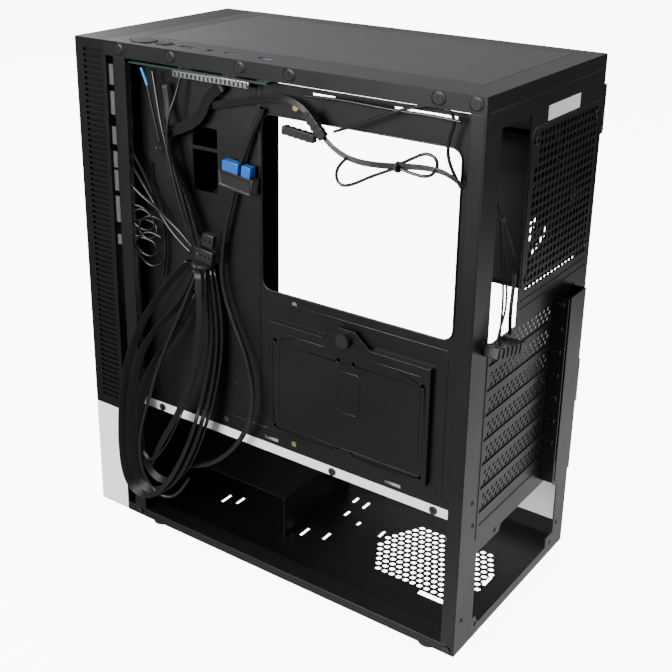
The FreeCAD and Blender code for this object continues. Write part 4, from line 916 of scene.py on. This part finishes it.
@dataclass
class Plugs:
    """The plugs, connectors and ties on the leads."""

    ties: dict[str, tuple[Point, Point, float, float]] = field(default_factory=lambda: {
        "bundle_band": ((0.097, -0.068, 0.272), (0.1, -0.1, -1.0), 0.009, 0.0025),
        "ribbon_band": ((0.096, -0.1095, 0.364), (0.0, 0.2, 1.0), 0.005, 0.002),
        "bow_band": ((0.097, 0.1145, 0.386), (0.0, 1.0, 0.1), 0.004, 0.0025),
        "fan_band": ((0.056, 0.1765, 0.350), (-0.4, 0.0, -1.0), 0.0026, 0.002)})

    def fast_plug(self) -> Obj:
        """The tall plug: a black body with two blue caps."""
        body = slab("fast_plug_housing", (0.0935, -0.049, 0.3495), (0.0935, -0.015, 0.346), 0.009,
                    0.014, 0.0008)
        pick_faces(body, OUT_X, 0.9)
        bpy.ops.mesh.inset(thickness=0.0018, depth=-0.0006)
        bpy.ops.object.mode_set(mode="OBJECT")
        return rest(body, "fast_plug_housing")

    def blue_caps(self) -> Obj:
        """The blue upper half of the fast plug, in two blocks."""
        first = slab("fast_plug_cap", (0.0935, -0.0455, 0.3595), (0.0935, -0.0295, 0.3583), 0.007,
                     0.0095, 0.0006)
        second = slab("fast_plug_cap_b", (0.0935, -0.0265, 0.3580), (0.0935, -0.0175, 0.3572),
                      0.007, 0.0095, 0.0006)
        return joined("fast_plug_cap", [first, second])

    def header(self, name: str, near: Point, far: Point, width: float, height: float,
               pins: int) -> list[Obj]:
        """A board plug with a row of bright contacts.

        Args:
            name: the piece's name.
            near: the middle of its first end.
            far: the middle of its other end.
            width: its size along X.
            height: its size in the third direction.
            pins: how many contacts show.

        Returns:
            The housing and its contacts.
        """
        housing = slab(name, near, far, width, height, 0.0006)
        start, end = Vector(near), Vector(far)
        face = OUT_X * (width / 2 - 0.0003)
        dots = []
        for i in range(pins):
            place = start.lerp(end, (i + 0.7) / (pins + 0.4)) + face
            dots.append(bar(f"{name}_contact", place - CONTACT, place + CONTACT, 0.0002, 1))
        return [housing, joined(f"{name}_contacts", dots)]

    def ridged(self, name: str, near: Point, far: Point, width: float, height: float,
               ribs: int) -> Obj:
        """A plug with ridges across it to grip.

        Args:
            name: the piece's name.
            near: the middle of its first end.
            far: the middle of its other end.
            width: its size along X where it can be.
            height: its size in the third direction.
            ribs: how many ridges it has.

        Returns:
            The new object.
        """
        start, end = Vector(near), Vector(far)
        step = (end - start) / (2 * ribs + 1)
        core = slab(name, near, far, width * 0.9, height * 0.9, 0.0004)
        rings = [slab(f"{name}_rib", tuple(start + step * (2 * i + 0.5)),
                      tuple(start + step * (2 * i + 1.5)), width, height, 0.0003)
                 for i in range(ribs)]
        return joined(name, [core, *rings])

    def build(self, paint: Paintbox) -> dict[str, list[Obj]]:
        """Makes every plug and tie.

        Args:
            paint: the finishes.

        Returns:
            The pieces that sit at the end of a lead, by the lead's name.
        """
        housing = wear(self.fast_plug(), paint["plug_black"],
                       nodes=("fast_usb_plug",))
        caps = wear(self.blue_caps(), paint["plug_blue"], nodes=("fast_usb_plug",))
        low = self.header("header_low", (0.101, -0.070, 0.284), (0.101, -0.052, 0.2815), 0.006,
                          0.011, 4)
        high = self.header("header_high", (0.101, -0.062, 0.297), (0.101, -0.051, 0.2955), 0.005,
                           0.011, 2)
        for piece, contacts in (low, high):
            wear(piece, paint["plug_black"], nodes=("header_plugs",))
            wear(contacts, paint["port_metal"], nodes=("header_plugs",))
        line = wear(self.ridged("inline_socket", (0.096, 0.014, 0.3975), (0.096, 0.043, 0.3945),
                                0.006, 0.007, 5), paint["plug_black"],
                    nodes=("inline_connectors",))
        other = wear(self.ridged("inline_tail", (0.098, 0.036, 0.414), (0.098, 0.052, 0.397),
                                 0.005, 0.008, 4), paint["plug_black"],
                     nodes=("inline_connectors",))
        fan = wear(self.ridged("fan_connector", (0.088, 0.1896, 0.262), (0.044, 0.1896, 0.2525),
                               0.014, 0.008, 6), paint["plug_black"],
                   nodes=("fan_plug",))
        ties = {name: wear(band(name, *shape), paint["tie_black"],
                           nodes=("cable_ties",)) for name, shape in self.ties.items()}
        return {"round_lead": [housing, caps], "outer_loop": [*low, ties["bundle_band"]],
                "fan_lead": [fan, ties["fan_band"]], "inline_lead": [line, other],
                "control_ribbon": [ties["ribbon_band"]], "bow_left": [ties["bow_band"]],
                "switch_ribbon": list(high)}


@dataclass
class Rotor:
    """The exhaust fan's rotor: a capped hub with curved, twisted blades."""

    blades: int = 9
    hub: float = 20.0 * MM
    tip: float = 56.3 * MM
    root_turn: float = 44.0
    tip_turn: float = 27.0
    sweep: float = 26.0
    thickness: float = 1.3 * MM
    rows: int = 10
    columns: int = 10

    def blade(self, middle: Vector, depth: float, start: float) -> Obj:
        """One blade, bent from a flat grid.

        Args:
            middle: the rotor's centre.
            depth: how far the blades reach along the axis.
            start: the angle of this blade's root, in radians.

        Returns:
            The new object.
        """
        settle()
        bpy.ops.mesh.primitive_grid_add(x_subdivisions=self.rows, y_subdivisions=self.columns,
                                        size=1.0, location=(0.0, 0.0, 0.0))
        piece = bpy.context.active_object
        for vertex in piece.data.vertices:
            share, along = vertex.co.x + 0.5, vertex.co.y
            radius = self.hub - 0.0008 + (self.tip - self.hub + 0.0008) * share
            turn = math.radians(self.root_turn + (self.tip_turn - self.root_turn) * share)
            arc = depth * 0.86 * along * math.cos(turn) / math.sin(math.radians(self.root_turn))
            camber = 0.10 * depth * (0.25 - along * along)
            angle = start + math.radians(self.sweep) * share ** 1.4 + arc / radius
            lift = along * depth * math.sin(turn) / math.sin(math.radians(self.root_turn)) + camber
            vertex.co = middle + Vector((radius * math.cos(angle), lift, radius * math.sin(angle)))
        take(piece)
        bpy.ops.object.mode_set(mode="EDIT")
        bpy.ops.mesh.select_all(action="SELECT")
        bpy.ops.mesh.solidify(thickness=self.thickness)
        bpy.ops.object.mode_set(mode="OBJECT")
        return rest(piece, "fan_blade", 50.0)

    def build(self, paint: Paintbox) -> None:
        """Makes the rotor.

        Args:
            paint: the finishes.
        """
        low, high = corner("fan_rotor")
        middle = (low + high) / 2
        depth = (high.y - low.y) - 0.0016
        along = OUT_Y
        cap = drum("fan_hub", middle, self.hub, high.y - low.y, along, 0.0014, 64)
        for look in (along, -along):
            pick_faces(cap, look)
            bpy.ops.mesh.inset(thickness=0.003, depth=0.0)
            bpy.ops.mesh.inset(thickness=0.0006, depth=-0.0004)
            bpy.ops.object.mode_set(mode="OBJECT")
        pieces = [cap]
        for i in range(self.blades):
            pieces.append(self.blade(middle, depth * 0.8, math.tau * i / self.blades))
        wheel = joined("fan_wheel", pieces)
        for vertex in wheel.data.vertices:
            vertex.co.y = min(max(vertex.co.y, low.y), high.y)
        wear(wheel, paint["black_plastic"], Body.ROTOR, ("fan_rotor",))


LEADS: list[Lead] = [
    Lead("outer_loop", 7.5, [
        (93, -69.5, 269), (95, -64.5, 241), (97, -60.5, 211), (100, -63.5, 174.5),
        (103, -72, 135.5), (106, -84.5, 98.5), (109, -101, 65), (110.5, -117, 45),
        (111, -134.5, 37), (111.5, -148.5, 42.5), (112, -155, 59), (112, -156.5, 85.5),
        (112, -154.5, 115.5), (111.5, -150.5, 146.5), (110, -143, 177), (106.5, -130, 208),
        (101, -115, 233.5), (96, -99.5, 255), (92.5, -84, 271)], wires=8, lean=(30.0, 55.0)),
    Lead("middle_loop", 7, [
        (93, -64.5, 269.5), (93.5, -60.5, 241.5), (95, -56.5, 211.5), (97.5, -58.5, 177.5),
        (101, -64.5, 143.5), (104.5, -75, 107), (107, -90.5, 72.5), (108.5, -108, 52),
        (109, -126, 43), (109.5, -140, 48.5), (110, -147.5, 65), (110, -149.5, 90),
        (110, -147.5, 121), (109, -141.5, 153), (106.5, -131.5, 182), (102.5, -116.5, 205.5),
        (98, -99, 224), (94, -85, 244.5), (91.5, -77.5, 265)], wires=8, lean=(20.0, 60.0)),
    Lead("inner_loop", 6, [
        (91.5, -61.5, 268.5), (91.5, -55.5, 242), (93, -52, 212), (95, -54, 180),
        (98.5, -60, 147.5), (102, -69, 113.5), (104, -82, 83.5), (105, -97.5, 64),
        (105.5, -114, 56), (106, -128, 60.5), (106.5, -136.5, 75.5), (107, -139.5, 98),
        (106.5, -138.5, 125.5), (105, -132.5, 151), (102, -119.5, 175), (98.5, -103, 197),
        (95, -88.5, 219.5), (92.5, -77.5, 243)], wires=6, lean=(25.0, 60.0)),
    Lead("folded_ribbon", 8.5, [
        (97.5, -73.5, 266), (101.5, -67.5, 237.5), (104.5, -69.5, 202), (105, -78.5, 162.5),
        (104, -98, 122.5), (102.5, -121.5, 87), (101, -134, 60.5)], wires=9, lean=(10.0, 35.0)),
    Lead("round_lead", 4.5, [
        (91, -9.5, 409), (91.5, -21, 386.5), (92.5, -30.5, 361.5), (93, -39.5, 331.5),
        (93, -47.5, 303), (93, -51.5, 276.5), (94, -48, 251.5), (95, -38, 228), (96, -25, 205),
        (97, -17, 180.5), (98, -17, 153.5), (98, -27, 126), (98, -47, 101), (97, -73.5, 81),
        (95, -97.5, 73.5)], stiffness=Stiffness.MEDIUM),
    Lead("control_ribbon", 9, [
        (92.5, -47, 422), (93, -60, 413), (94, -65.5, 401.5), (95, -72.5, 390.5), (96, -86.5, 383),
        (96.5, -100, 378.5), (96.5, -109, 370.5), (95.5, -109.5, 358.5), (93, -102.5, 345),
        (92.5, -92, 330), (92.5, -81.5, 313), (93, -74.5, 294)], wires=9, lean=(0.0, 10.0)),
    Lead("switch_ribbon", 5.5, [
        (93, -107, 416.5), (94, -103.5, 400.5), (97, -101.5, 384), (99, -101.5, 367),
        (99, -98, 351), (98.5, -89.5, 335), (98.5, -80.5, 318), (98.5, -73.5, 300),
        (99, -67.5, 282.5)], wires=6, lean=(0.0, 25.0)),
    Lead("light_lead", 2.4, [
        (97, -127.5, 426), (97, -121.5, 414.5), (97, -118, 398), (97, -113.5, 381.5),
        (96.5, -110.5, 368)], finish="cord_blue"),
    Lead("front_lead_a", 2.6, [
        (100.5, -148, 367), (97, -137.5, 350), (94, -128, 330.5), (92, -121, 311),
        (91, -114.5, 292), (91, -113.5, 271), (91, -118, 248)]),
    Lead("front_lead_b", 2.6, [
        (100.5, -147.5, 355), (97, -137.5, 337), (96, -124.5, 319.5), (96, -112, 303.5),
        (96, -97, 288.5), (97, -81, 280)]),
    Lead("tangled_lead", 1.8, [
        (94, -112, 298.5), (97, -120, 303.5), (99, -129.5, 301), (100, -135.5, 293.5),
        (100, -133, 285), (99.5, -124.5, 282), (98, -116.5, 287), (96.5, -117.5, 295),
        (96.5, -126.5, 298.5), (97.5, -137.5, 296.5), (99, -146.5, 290.5), (100, -147, 281.5),
        (99.5, -141.5, 273), (98, -136.5, 264.5), (96.5, -130.5, 257.5), (95, -121.5, 257),
        (94, -114, 262.5)]),
    Lead("top_run", 6, [
        (91.5, -63.5, 403), (91.5, -38.5, 409), (92, -11, 416), (93, 12.5, 420),
        (93.5, 28.5, 416.5), (94, 39.5, 407), (95, 50, 396), (96, 62.5, 388), (96.5, 77.5, 384),
        (96.5, 94.5, 384), (97, 111.5, 386), (97, 127.5, 388.5), (97, 142.5, 389.5),
        (96.5, 155.5, 387.5), (95, 165.5, 380.5)], wires=6, lean=(10.0, 40.0)),
    Lead("top_wire", 2.4, [
        (96.5, 161.5, 425), (97, 139.5, 426), (97, 114.5, 425.5), (97, 88.5, 426),
        (96.5, 61, 426.5), (96, 34.5, 425)]),
    Lead("inline_lead", 2.4, [
        (96, 59.5, 402.5), (96.5, 83.5, 412), (97, 106.5, 423), (97.5, 127.5, 431),
        (97.5, 144, 433.5), (96.5, 154.5, 430.5), (95.5, 156.5, 422.5), (95, 152.5, 412.5),
        (95, 151.5, 401), (95, 156, 389.5), (94.5, 163, 379.5)]),
    Lead("bow_left", 2.4, [
        (97, 112, 384.5), (97, 93.5, 376), (97, 76.5, 366), (97, 66.5, 363.5), (97, 62, 370),
        (97, 64.5, 379), (97, 72, 385.5)]),
    Lead("bow_right", 2.4, [
        (97, 116, 388.5), (97, 126.5, 394.5), (97, 136.5, 400), (97, 144.5, 397.5), (97, 146, 391),
        (97, 140.5, 383.5), (97, 129.5, 382.5), (97, 117, 385)]),
    Lead("fan_lead", 3, [
        (62.5, 174.5, 362.5), (58, 176, 353), (52, 177, 341.5), (43.5, 178, 328), (37, 179, 314),
        (37.5, 180.5, 302), (45, 183.5, 293.5), (54, 187, 285.5), (60.5, 190, 277),
        (62, 191.5, 267)], wires=3),
    Lead("board_lead_a", 2.6, [
        (94, -88, 424), (96, -91, 410), (100.5, -97, 392), (101.5, -99, 372), (101.5, -92, 350),
        (101.5, -83, 325), (101, -76, 300), (101, -71, 285)]),
    Lead("board_lead_b", 2.6, [
        (94, -118, 424), (97, -112, 405), (101.5, -104, 385), (103, -96, 362), (103, -90, 338),
        (103, -82, 312), (102, -74, 290)]),
    Lead("cross_lead", 2.4, [
        (100.5, -146, 330), (98, -132, 318), (99, -116, 312), (103, -100, 306), (104, -84, 298),
        (103, -74, 288)]),
    Lead("tangle_two", 1.8, [
        (97, -128, 306), (99, -138, 312), (101, -146, 304), (100, -140, 292), (98, -128, 288),
        (97, -118, 294), (98, -122, 304), (100, -133, 309), (101, -144, 300), (100, -149, 288),
        (98.5, -144, 276), (98, -134, 268)]),
    Lead("tangle_three", 1.8, [
        (98, -112, 286), (99, -122, 290), (101.5, -132, 286), (102, -140, 277), (99.5, -134, 268),
        (98, -124, 266), (97.5, -116, 272), (98, -120, 281), (99.5, -130, 282), (101, -142, 284),
        (101, -148, 276), (100, -146, 264)]),
    Lead("loop_small", 3, [
        (97, -66, 268), (99, -62, 235), (102, -64, 200), (105, -76, 160), (107.5, -92, 122),
        (108.5, -108, 92), (108, -124, 74), (107, -136, 78), (106, -140, 98), (105, -136, 126),
        (103, -124, 158), (100, -108, 190), (97, -92, 220), (95, -80, 246)],
        wires=3, lean=(40.0, 80.0)),
    Lead("loop_slack", 3, [
        (95, -74, 268), (99, -84, 240), (103, -98, 208), (106, -114, 170), (108, -128, 128),
        (109.5, -138, 92), (110, -136, 62), (109, -122, 44), (107, -106, 42), (103, -94, 52),
        (99, -88, 66)]),
    Lead("fan_wire_a", 1.6, [
        (57, 176, 352), (60, 178, 340), (63, 182, 322), (66, 186, 300), (70, 188, 285),
        (73, 189, 272), (74, 190, 262)]),
    Lead("fan_wire_b", 1.6, [
        (56, 176, 348), (54, 177, 332), (50, 179, 312), (52, 182, 296), (60, 186, 286),
        (70, 189, 280), (78, 190, 272), (80, 190, 264)]),
]


def islands(node: str) -> list[tuple[Vector, Vector]]:
    """The corners of each separate solid of a node.

    Args:
        node: the node's name.

    Returns:
        One pair of lowest and highest corners for each solid.
    """
    mesh = frame["nodes"][node].data
    places = [tuple(round(c, 6) for c in vertex.co) for vertex in mesh.vertices]
    owner = {place: place for place in places}

    def root(place: Point) -> Point:
        """The leader of a place's group."""
        while owner[place] != place:
            owner[place] = owner[owner[place]]
            place = owner[place]
        return place

    for edge in mesh.edges:
        first, second = (root(places[i]) for i in edge.vertices)
        owner[first] = second
    groups: dict[Point, list[Point]] = {}
    for place in owner:
        groups.setdefault(root(place), []).append(place)
    found = []
    for key in sorted(groups):
        group = groups[key]
        found.append((Vector(min(p[i] for p in group) for i in range(3)),
                      Vector(max(p[i] for p in group) for i in range(3))))
    return found


@dataclass
class Screws:
    """Cross-head screws in place of the plain ones of a node."""

    node: str
    finish: str
    along: Vector

    def head(self, low: Vector, high: Vector) -> Obj:
        """One domed head with a cross recess on its shank.

        Args:
            low: the plain screw's lowest corner.
            high: its highest corner.

        Returns:
            The new object.
        """
        middle, size = (low + high) / 2, high - low
        axis = max(range(3), key=lambda i: abs(self.along[i]))
        radius = min(size[i] for i in range(3) if i != axis) / 2
        depth = size[axis]
        end = middle + self.along * (depth / 2)
        thick = min(depth * 0.6, 0.0022)
        cap = drum("screw", end - self.along * (thick / 2), radius, thick, self.along,
                   min(thick, radius) * 0.45, 28)
        bolt = drum("shank", middle - self.along * (thick / 2), radius * 0.5, depth - thick,
                    self.along, radius * 0.05, 16)
        others = [OUT_X, OUT_Y, OUT_Z]
        del others[axis]
        for cross in others:
            size_cut = Vector((0.0003, 0.0003, 0.0003)) + cross * (radius * 0.95)
            size_cut += Vector(abs(c) for c in self.along) * thick * 0.9
            cutter = bar("cross", end - size_cut / 2, end + size_cut / 2, 0.00005, 1)
            take(cap)
            cap.modifiers.new("cross", "BOOLEAN").object = cutter
            bpy.ops.object.modifier_apply(modifier="cross")
            bpy.data.objects.remove(cutter)
        return joined("screw", [cap, bolt])

    def build(self, paint: Paintbox) -> None:
        """Makes every screw of the node.

        Args:
            paint: the finishes.
        """
        made = []
        for low, high in islands(self.node):
            made.append(self.head(low, high))
        wear(joined(self.node + "_cross_heads", made), paint[self.finish],
             nodes=(self.node,))


@dataclass
class Pressings:
    """Fine ribs and rims pressed into one sheet."""

    name: str
    normal: Vector
    level: float
    lines: list[tuple[Spot, Spot]]
    finish: str = "black_steel"
    width: float = 1.6 * MM
    height: float = 0.45 * MM

    def place(self, spot: Spot) -> Vector:
        """A spot on the sheet as a point: across the sheet, then up."""
        if abs(self.normal.x) > 0.5:
            return Vector((self.level, *spot))
        if abs(self.normal.y) > 0.5:
            return Vector((spot[0], self.level, spot[1]))
        return Vector((*spot, self.level))

    def build(self, paint: Paintbox) -> None:
        """Makes the ribs as one piece.

        Args:
            paint: the finishes.
        """
        ribs = [strip(self.name, self.place(a), self.place(b), self.normal, self.width,
                      self.height) for a, b in self.lines]
        wear(joined(self.name, ribs), paint[self.finish])


def box_lines(low: Spot, high: Spot,
              chamfer: float) -> list[tuple[Spot, Spot]]:
    """The eight edges of a rectangle with cut corners."""
    (a, b), (c, d), k = low, high, chamfer
    spots = [(a + k, b), (c - k, b), (c, b + k), (c, d - k), (c - k, d), (a + k, d), (a, d - k),
             (a, b + k)]
    return [(spots[i], spots[(i + 1) % 8]) for i in range(8)]


@dataclass
class RolledRim:
    """A rolled edge round a rounded opening in an upright sheet across X."""

    name: str
    level: float
    low: Spot
    high: Spot
    round_off: float
    thickness: float = 0.8 * MM

    def build(self, paint: Paintbox) -> None:
        """Makes the rim from a bevelled closed line.

        Args:
            paint: the finishes.
        """
        spots = []
        k = self.round_off
        (near, low), (far, high) = self.low, self.high
        centres = [(far - k, high - k, 0), (near + k, high - k, 90), (near + k, low + k, 180),
                   (far - k, low + k, 270)]
        for y, z, start in centres:
            for step in range(9):
                angle = math.radians(start + step * 90 / 8)
                spots.append((self.level, y + k * math.cos(angle), z + k * math.sin(angle)))
        data = bpy.data.curves.new(self.name, "CURVE")
        data.dimensions = "3D"
        line = data.splines.new("POLY")
        line.points.add(len(spots) - 1)
        for point, spot in zip(line.points, spots):
            point.co = (*spot, 1.0)
        line.use_cyclic_u = True
        data.bevel_depth = self.thickness
        data.bevel_resolution = 3
        rim = bpy.data.objects.new(self.name, data)
        bpy.context.scene.collection.objects.link(rim)
        take(rim)
        bpy.ops.object.convert(target="MESH")
        wear(rest(bpy.context.active_object, self.name, 60.0), paint["black_steel"])


@dataclass
class Dimples:
    """Small round or oblong punched marks on a sheet."""

    name: str
    normal: Vector
    level: float
    spots: list[tuple[float, float, float, float]]
    finish: str = "dark_screw"
    height: float = 0.5 * MM

    def build(self, paint: Paintbox) -> None:
        """Makes the marks as one piece.

        Args:
            paint: the finishes.
        """
        made = []
        for across, up, wide, tall in self.spots:
            if abs(self.normal.y) > 0.5:
                centre = Vector((across, self.level, up))
                half = Vector((wide / 2, self.height, tall / 2))
            elif abs(self.normal.x) > 0.5:
                centre = Vector((self.level, across, up))
                half = Vector((self.height, wide / 2, tall / 2))
            else:
                centre = Vector((across, up, self.level))
                half = Vector((wide / 2, tall / 2, self.height))
            mark = drum(self.name, centre, 1.0, 2.0, self.normal, 0.25, 20)
            for vertex in mark.data.vertices:
                offset = vertex.co - centre
                vertex.co = centre + Vector(o * h for o, h in zip(offset, half))
            pick_faces(mark, self.normal, 0.99)
            bpy.ops.mesh.inset(thickness=min(wide, tall) * 0.16, depth=0.0)
            bpy.ops.mesh.extrude_region_move(
                TRANSFORM_OT_translate={"value": self.normal * -self.height * 0.9})
            bpy.ops.object.mode_set(mode="OBJECT")
            made.append(rest(mark, self.name))
        wear(joined(self.name, made), paint[self.finish])


def cover_rims() -> Pressings:
    """A fine rim round each slot cover."""
    lines = []
    rear = 0.0
    for low, high in islands("slot_covers"):
        rear = max(rear, high.y)
        lines += box_lines((low.x + 0.002, low.z + 0.0012), (high.x - 0.004, high.z - 0.0012),
                           0.001)
    return Pressings("cover_rims", OUT_Y, rear, lines, width=0.0010, height=0.0004)


def seat_rings() -> Dimples:
    """The pressed seats round the screws of the roof rail."""
    seats = [((low + high) / 2, low.x) for low, high in islands("case_screws")
             if low.z + high.z > 2 * RAIL_FOOT]
    level = max([RAIL_FACE, *(near for middle, near in seats)])
    spots = [(middle.y, middle.z, 0.0105, 0.0095) for middle, near in seats]
    return Dimples("seat_rings", OUT_X, level, spots, "black_steel", height=0.0006)


def roof_fittings() -> list[Pressings]:
    """Rings round the two buttons on the roof."""
    made = []
    for name, ring in (("power_button", 0.0013), ("reset_button", 0.001)):
        low, high = corner(name)
        cx, cy, r = (low.x + high.x) / 2, (low.y + high.y) / 2, (high.x - low.x) / 2 + ring
        spots = [(cx + r * math.cos(math.tau * k / 32), cy + r * math.sin(math.tau * k / 32))
                 for k in range(33)]
        made.append(Pressings(name + "_ring", OUT_Z, ROOF_FACE, list(zip(spots, spots[1:])),
                              width=ring, height=0.0004))
    return made


def fan_trim() -> Dimples:
    """The four corner screws of the exhaust fan."""
    low, high = corner("fan_frame")
    inset = 0.0075
    spots = [(x, z, 0.0068, 0.0068) for x in (low.x + inset, high.x - inset)
             for z in (low.z + inset, high.z - inset)]
    return Dimples("fan_screws", OUT_Y, REAR_FACE, spots, height=0.0011)


def foot_pads() -> Dimples:
    """A ring pressed into the underside of each foot."""
    spots = []
    for low, high in islands("feet"):
        middle = (low + high) / 2
        spots.append((middle.x, middle.y, (high.x - low.x) * 0.6, (high.y - low.y) * 0.6))
    return Dimples("foot_rings", OUT_Z, FOOT_FACE, spots, "rubber_feet", height=0.0003)


def hinge_trim() -> Dimples:
    """The screw heads on the hinge blocks' rear faces."""
    spots = []
    rear = 0.0
    for low, high in islands("hinge_blocks"):
        middle = (low + high) / 2
        rear = max(rear, high.y)
        for share in (0.22, 0.78):
            spots.append((middle.x, low.z + (high.z - low.z) * share, 0.0032, 0.0032))
    return Dimples("hinge_screws", OUT_Y, rear, spots, "pin_steel")


@dataclass
class PortTongues:
    """The tongues that show in each port from above."""

    def build(self, paint: Paintbox) -> None:
        """Makes the tongues: black ones and one blue one.

        Args:
            paint: the finishes.
        """
        for node, finish in (("usb_ports", "plug_black"), ("usb_fast_port", "plug_blue")):
            made = []
            for low, high in islands(node):
                if high.y - low.y < 0.008:
                    continue
                low = Vector((low.x + 0.0012, low.y + 0.0014, high.z - 0.006))
                high = Vector((low.x + 0.0018, high.y - 0.0014, high.z - 0.0006))
                made.append(bar(node + "_tongue", low, high, 0.0003))
            if made:
                wear(joined(node + "_tongues", made), paint[finish])


@dataclass
class HeaderRow:
    """A pale connector row under the control board, with its pins."""

    count: int = 18

    def build(self, paint: Paintbox) -> None:
        """Makes the row.

        Args:
            paint: the finishes.
        """
        low, high = corner("io_board")
        shell = bar("board_header", Vector((high.x - 0.0045, low.y + 0.058, low.z - 0.0052)),
                    Vector((high.x - 0.0005, high.y - 0.018, low.z + 0.0002)), 0.0004)
        wear(shell, paint["port_metal"])
        gaps = []
        reach = high.y - low.y - 0.080
        for i in range(self.count):
            y = low.y + 0.060 + reach * i / (self.count - 1)
            gaps.append(bar("board_pins", Vector((high.x - 0.0012, y, low.z - 0.0046)),
                            Vector((high.x - 0.0001, y + 0.0016, low.z - 0.0012)), 0.0002, 1))
        wear(joined("board_pins", gaps), paint["plug_black"])


@dataclass
class GapScreens:
    """The pale mesh that shows in patches between the front panel and the front post."""

    level: float = 0.1006
    near: float = -0.1606
    far: float = -0.1556
    patches: tuple[Spot, ...] = (
        (0.409, 0.426), (0.384, 0.404), (0.359, 0.374), (0.339, 0.353), (0.319, 0.337),
        (0.291, 0.314), (0.271, 0.280))

    def build(self, paint: Paintbox) -> None:
        """Makes the patches.

        Args:
            paint: the finishes.
        """
        made = [bar("gap_screen", Vector((self.level - 0.0006, self.near, low)),
                    Vector((self.level, self.far, high)), 0.0002, 1) for low, high in self.patches]
        wear(joined("gap_screens", made), paint["pale_screen"])


def details() -> list[Pressings | RolledRim | Dimples | Screws | PortTongues | HeaderRow
                      | GapScreens]:
    """Every fine fitting on the sheets."""
    return [
        cover_rims(), seat_rings(), *roof_fittings(), fan_trim(), foot_pads(), hinge_trim(),
        PortTongues(), HeaderRow(), GapScreens(),
        Screws("case_screws", "dark_screw", OUT_X),
        Screws("slot_screws", "dark_screw", OUT_Y),
        Pressings("rear_creases", OUT_Y, REAR_FACE, [
            ((-0.088, 0.4340), (0.098, 0.4340)), ((-0.086, 0.2800), (0.030, 0.2800)),
            ((-0.086, 0.2735), (0.030, 0.2735)), ((-0.043, 0.1110), (0.073, 0.1110)),
            ((0.0785, 0.1010), (0.0785, 0.2580))], width=0.0018, height=0.0005),
        Pressings("grille_rim", OUT_Y, REAR_FACE,
                  box_lines((-0.0895, 0.2865), (0.0325, 0.4105), 0.006), width=0.0018,
                  height=0.0006),
        Dimples("rear_marks", OUT_Y, REAR_FACE, [
            (0.0532, 0.4370, 0.005, 0.0022), (-0.0368, 0.4370, 0.005, 0.0022),
            (-0.0788, 0.4360, 0.005, 0.0022), (0.0892, 0.4120, 0.0034, 0.0034),
            (0.0872, 0.2670, 0.0034, 0.0034), (0.0872, 0.1370, 0.004, 0.004),
            (0.0842, 0.1160, 0.004, 0.004), (-0.0788, 0.0330, 0.004, 0.004),
            (0.0932, 0.0360, 0.004, 0.004)]),
        Pressings("tray_pressings", OUT_X, TRAY_FACE, [
            ((-0.0164, 0.146), (-0.0164, 0.425)),
            ((-0.0500, 0.136), (-0.0500, 0.160)), ((-0.0500, 0.160), (-0.0420, 0.168)),
            ((-0.0850, 0.136), (-0.0100, 0.136)), ((0.1560, 0.1300), (0.1560, 0.2500)),
            ((-0.0120, 0.2530), (0.1560, 0.2530))], width=0.0016, height=0.0005),
        RolledRim("window_rim", 0.0869, (-0.0139, 0.2610), (0.1591, 0.4040), 0.009),
        Pressings("bracket_pressings", OUT_X, BRACKET_FACE, [
            *box_lines((0.0636, 0.1780), (0.0836, 0.2130), 0.002),
            ((0.0060, 0.2290), (0.0500, 0.2290)), ((0.0900, 0.2290), (0.1370, 0.2290)),
            ((0.0040, 0.1460), (0.1390, 0.1460)), ((0.0060, 0.1500), (0.0060, 0.2250)),
            ((0.1370, 0.1500), (0.1370, 0.2250))], width=0.0012, height=0.0004),
    ]


SOFT_EDGES: dict[str, float] = {
    "rear_post": 0.0005, "front_post": 0.0004, "roof_rail": 0.0004, "base_rail": 0.0004,
    "drive_bracket": 0.0004, "front_panel": 0.0005, "lower_fascia": 0.0008,
    "slot_screw_cover": 0.0004, "hinge_blocks": 0.0006,
}


def main() -> None:
    """Builds the tower over its frame."""
    logging.basicConfig(level=logging.INFO, format="%(name)s: %(message)s")
    Studio().build()
    paint = Paintbox()
    paint.dress()
    paint.soften(SOFT_EDGES)
    carried = Plugs().build(paint)
    for lead in LEADS:
        lead.build(paint, carried)
    Rotor().build(paint)
    for detail in details():
        detail.build(paint)


if __name__ == "__main__":
    main()
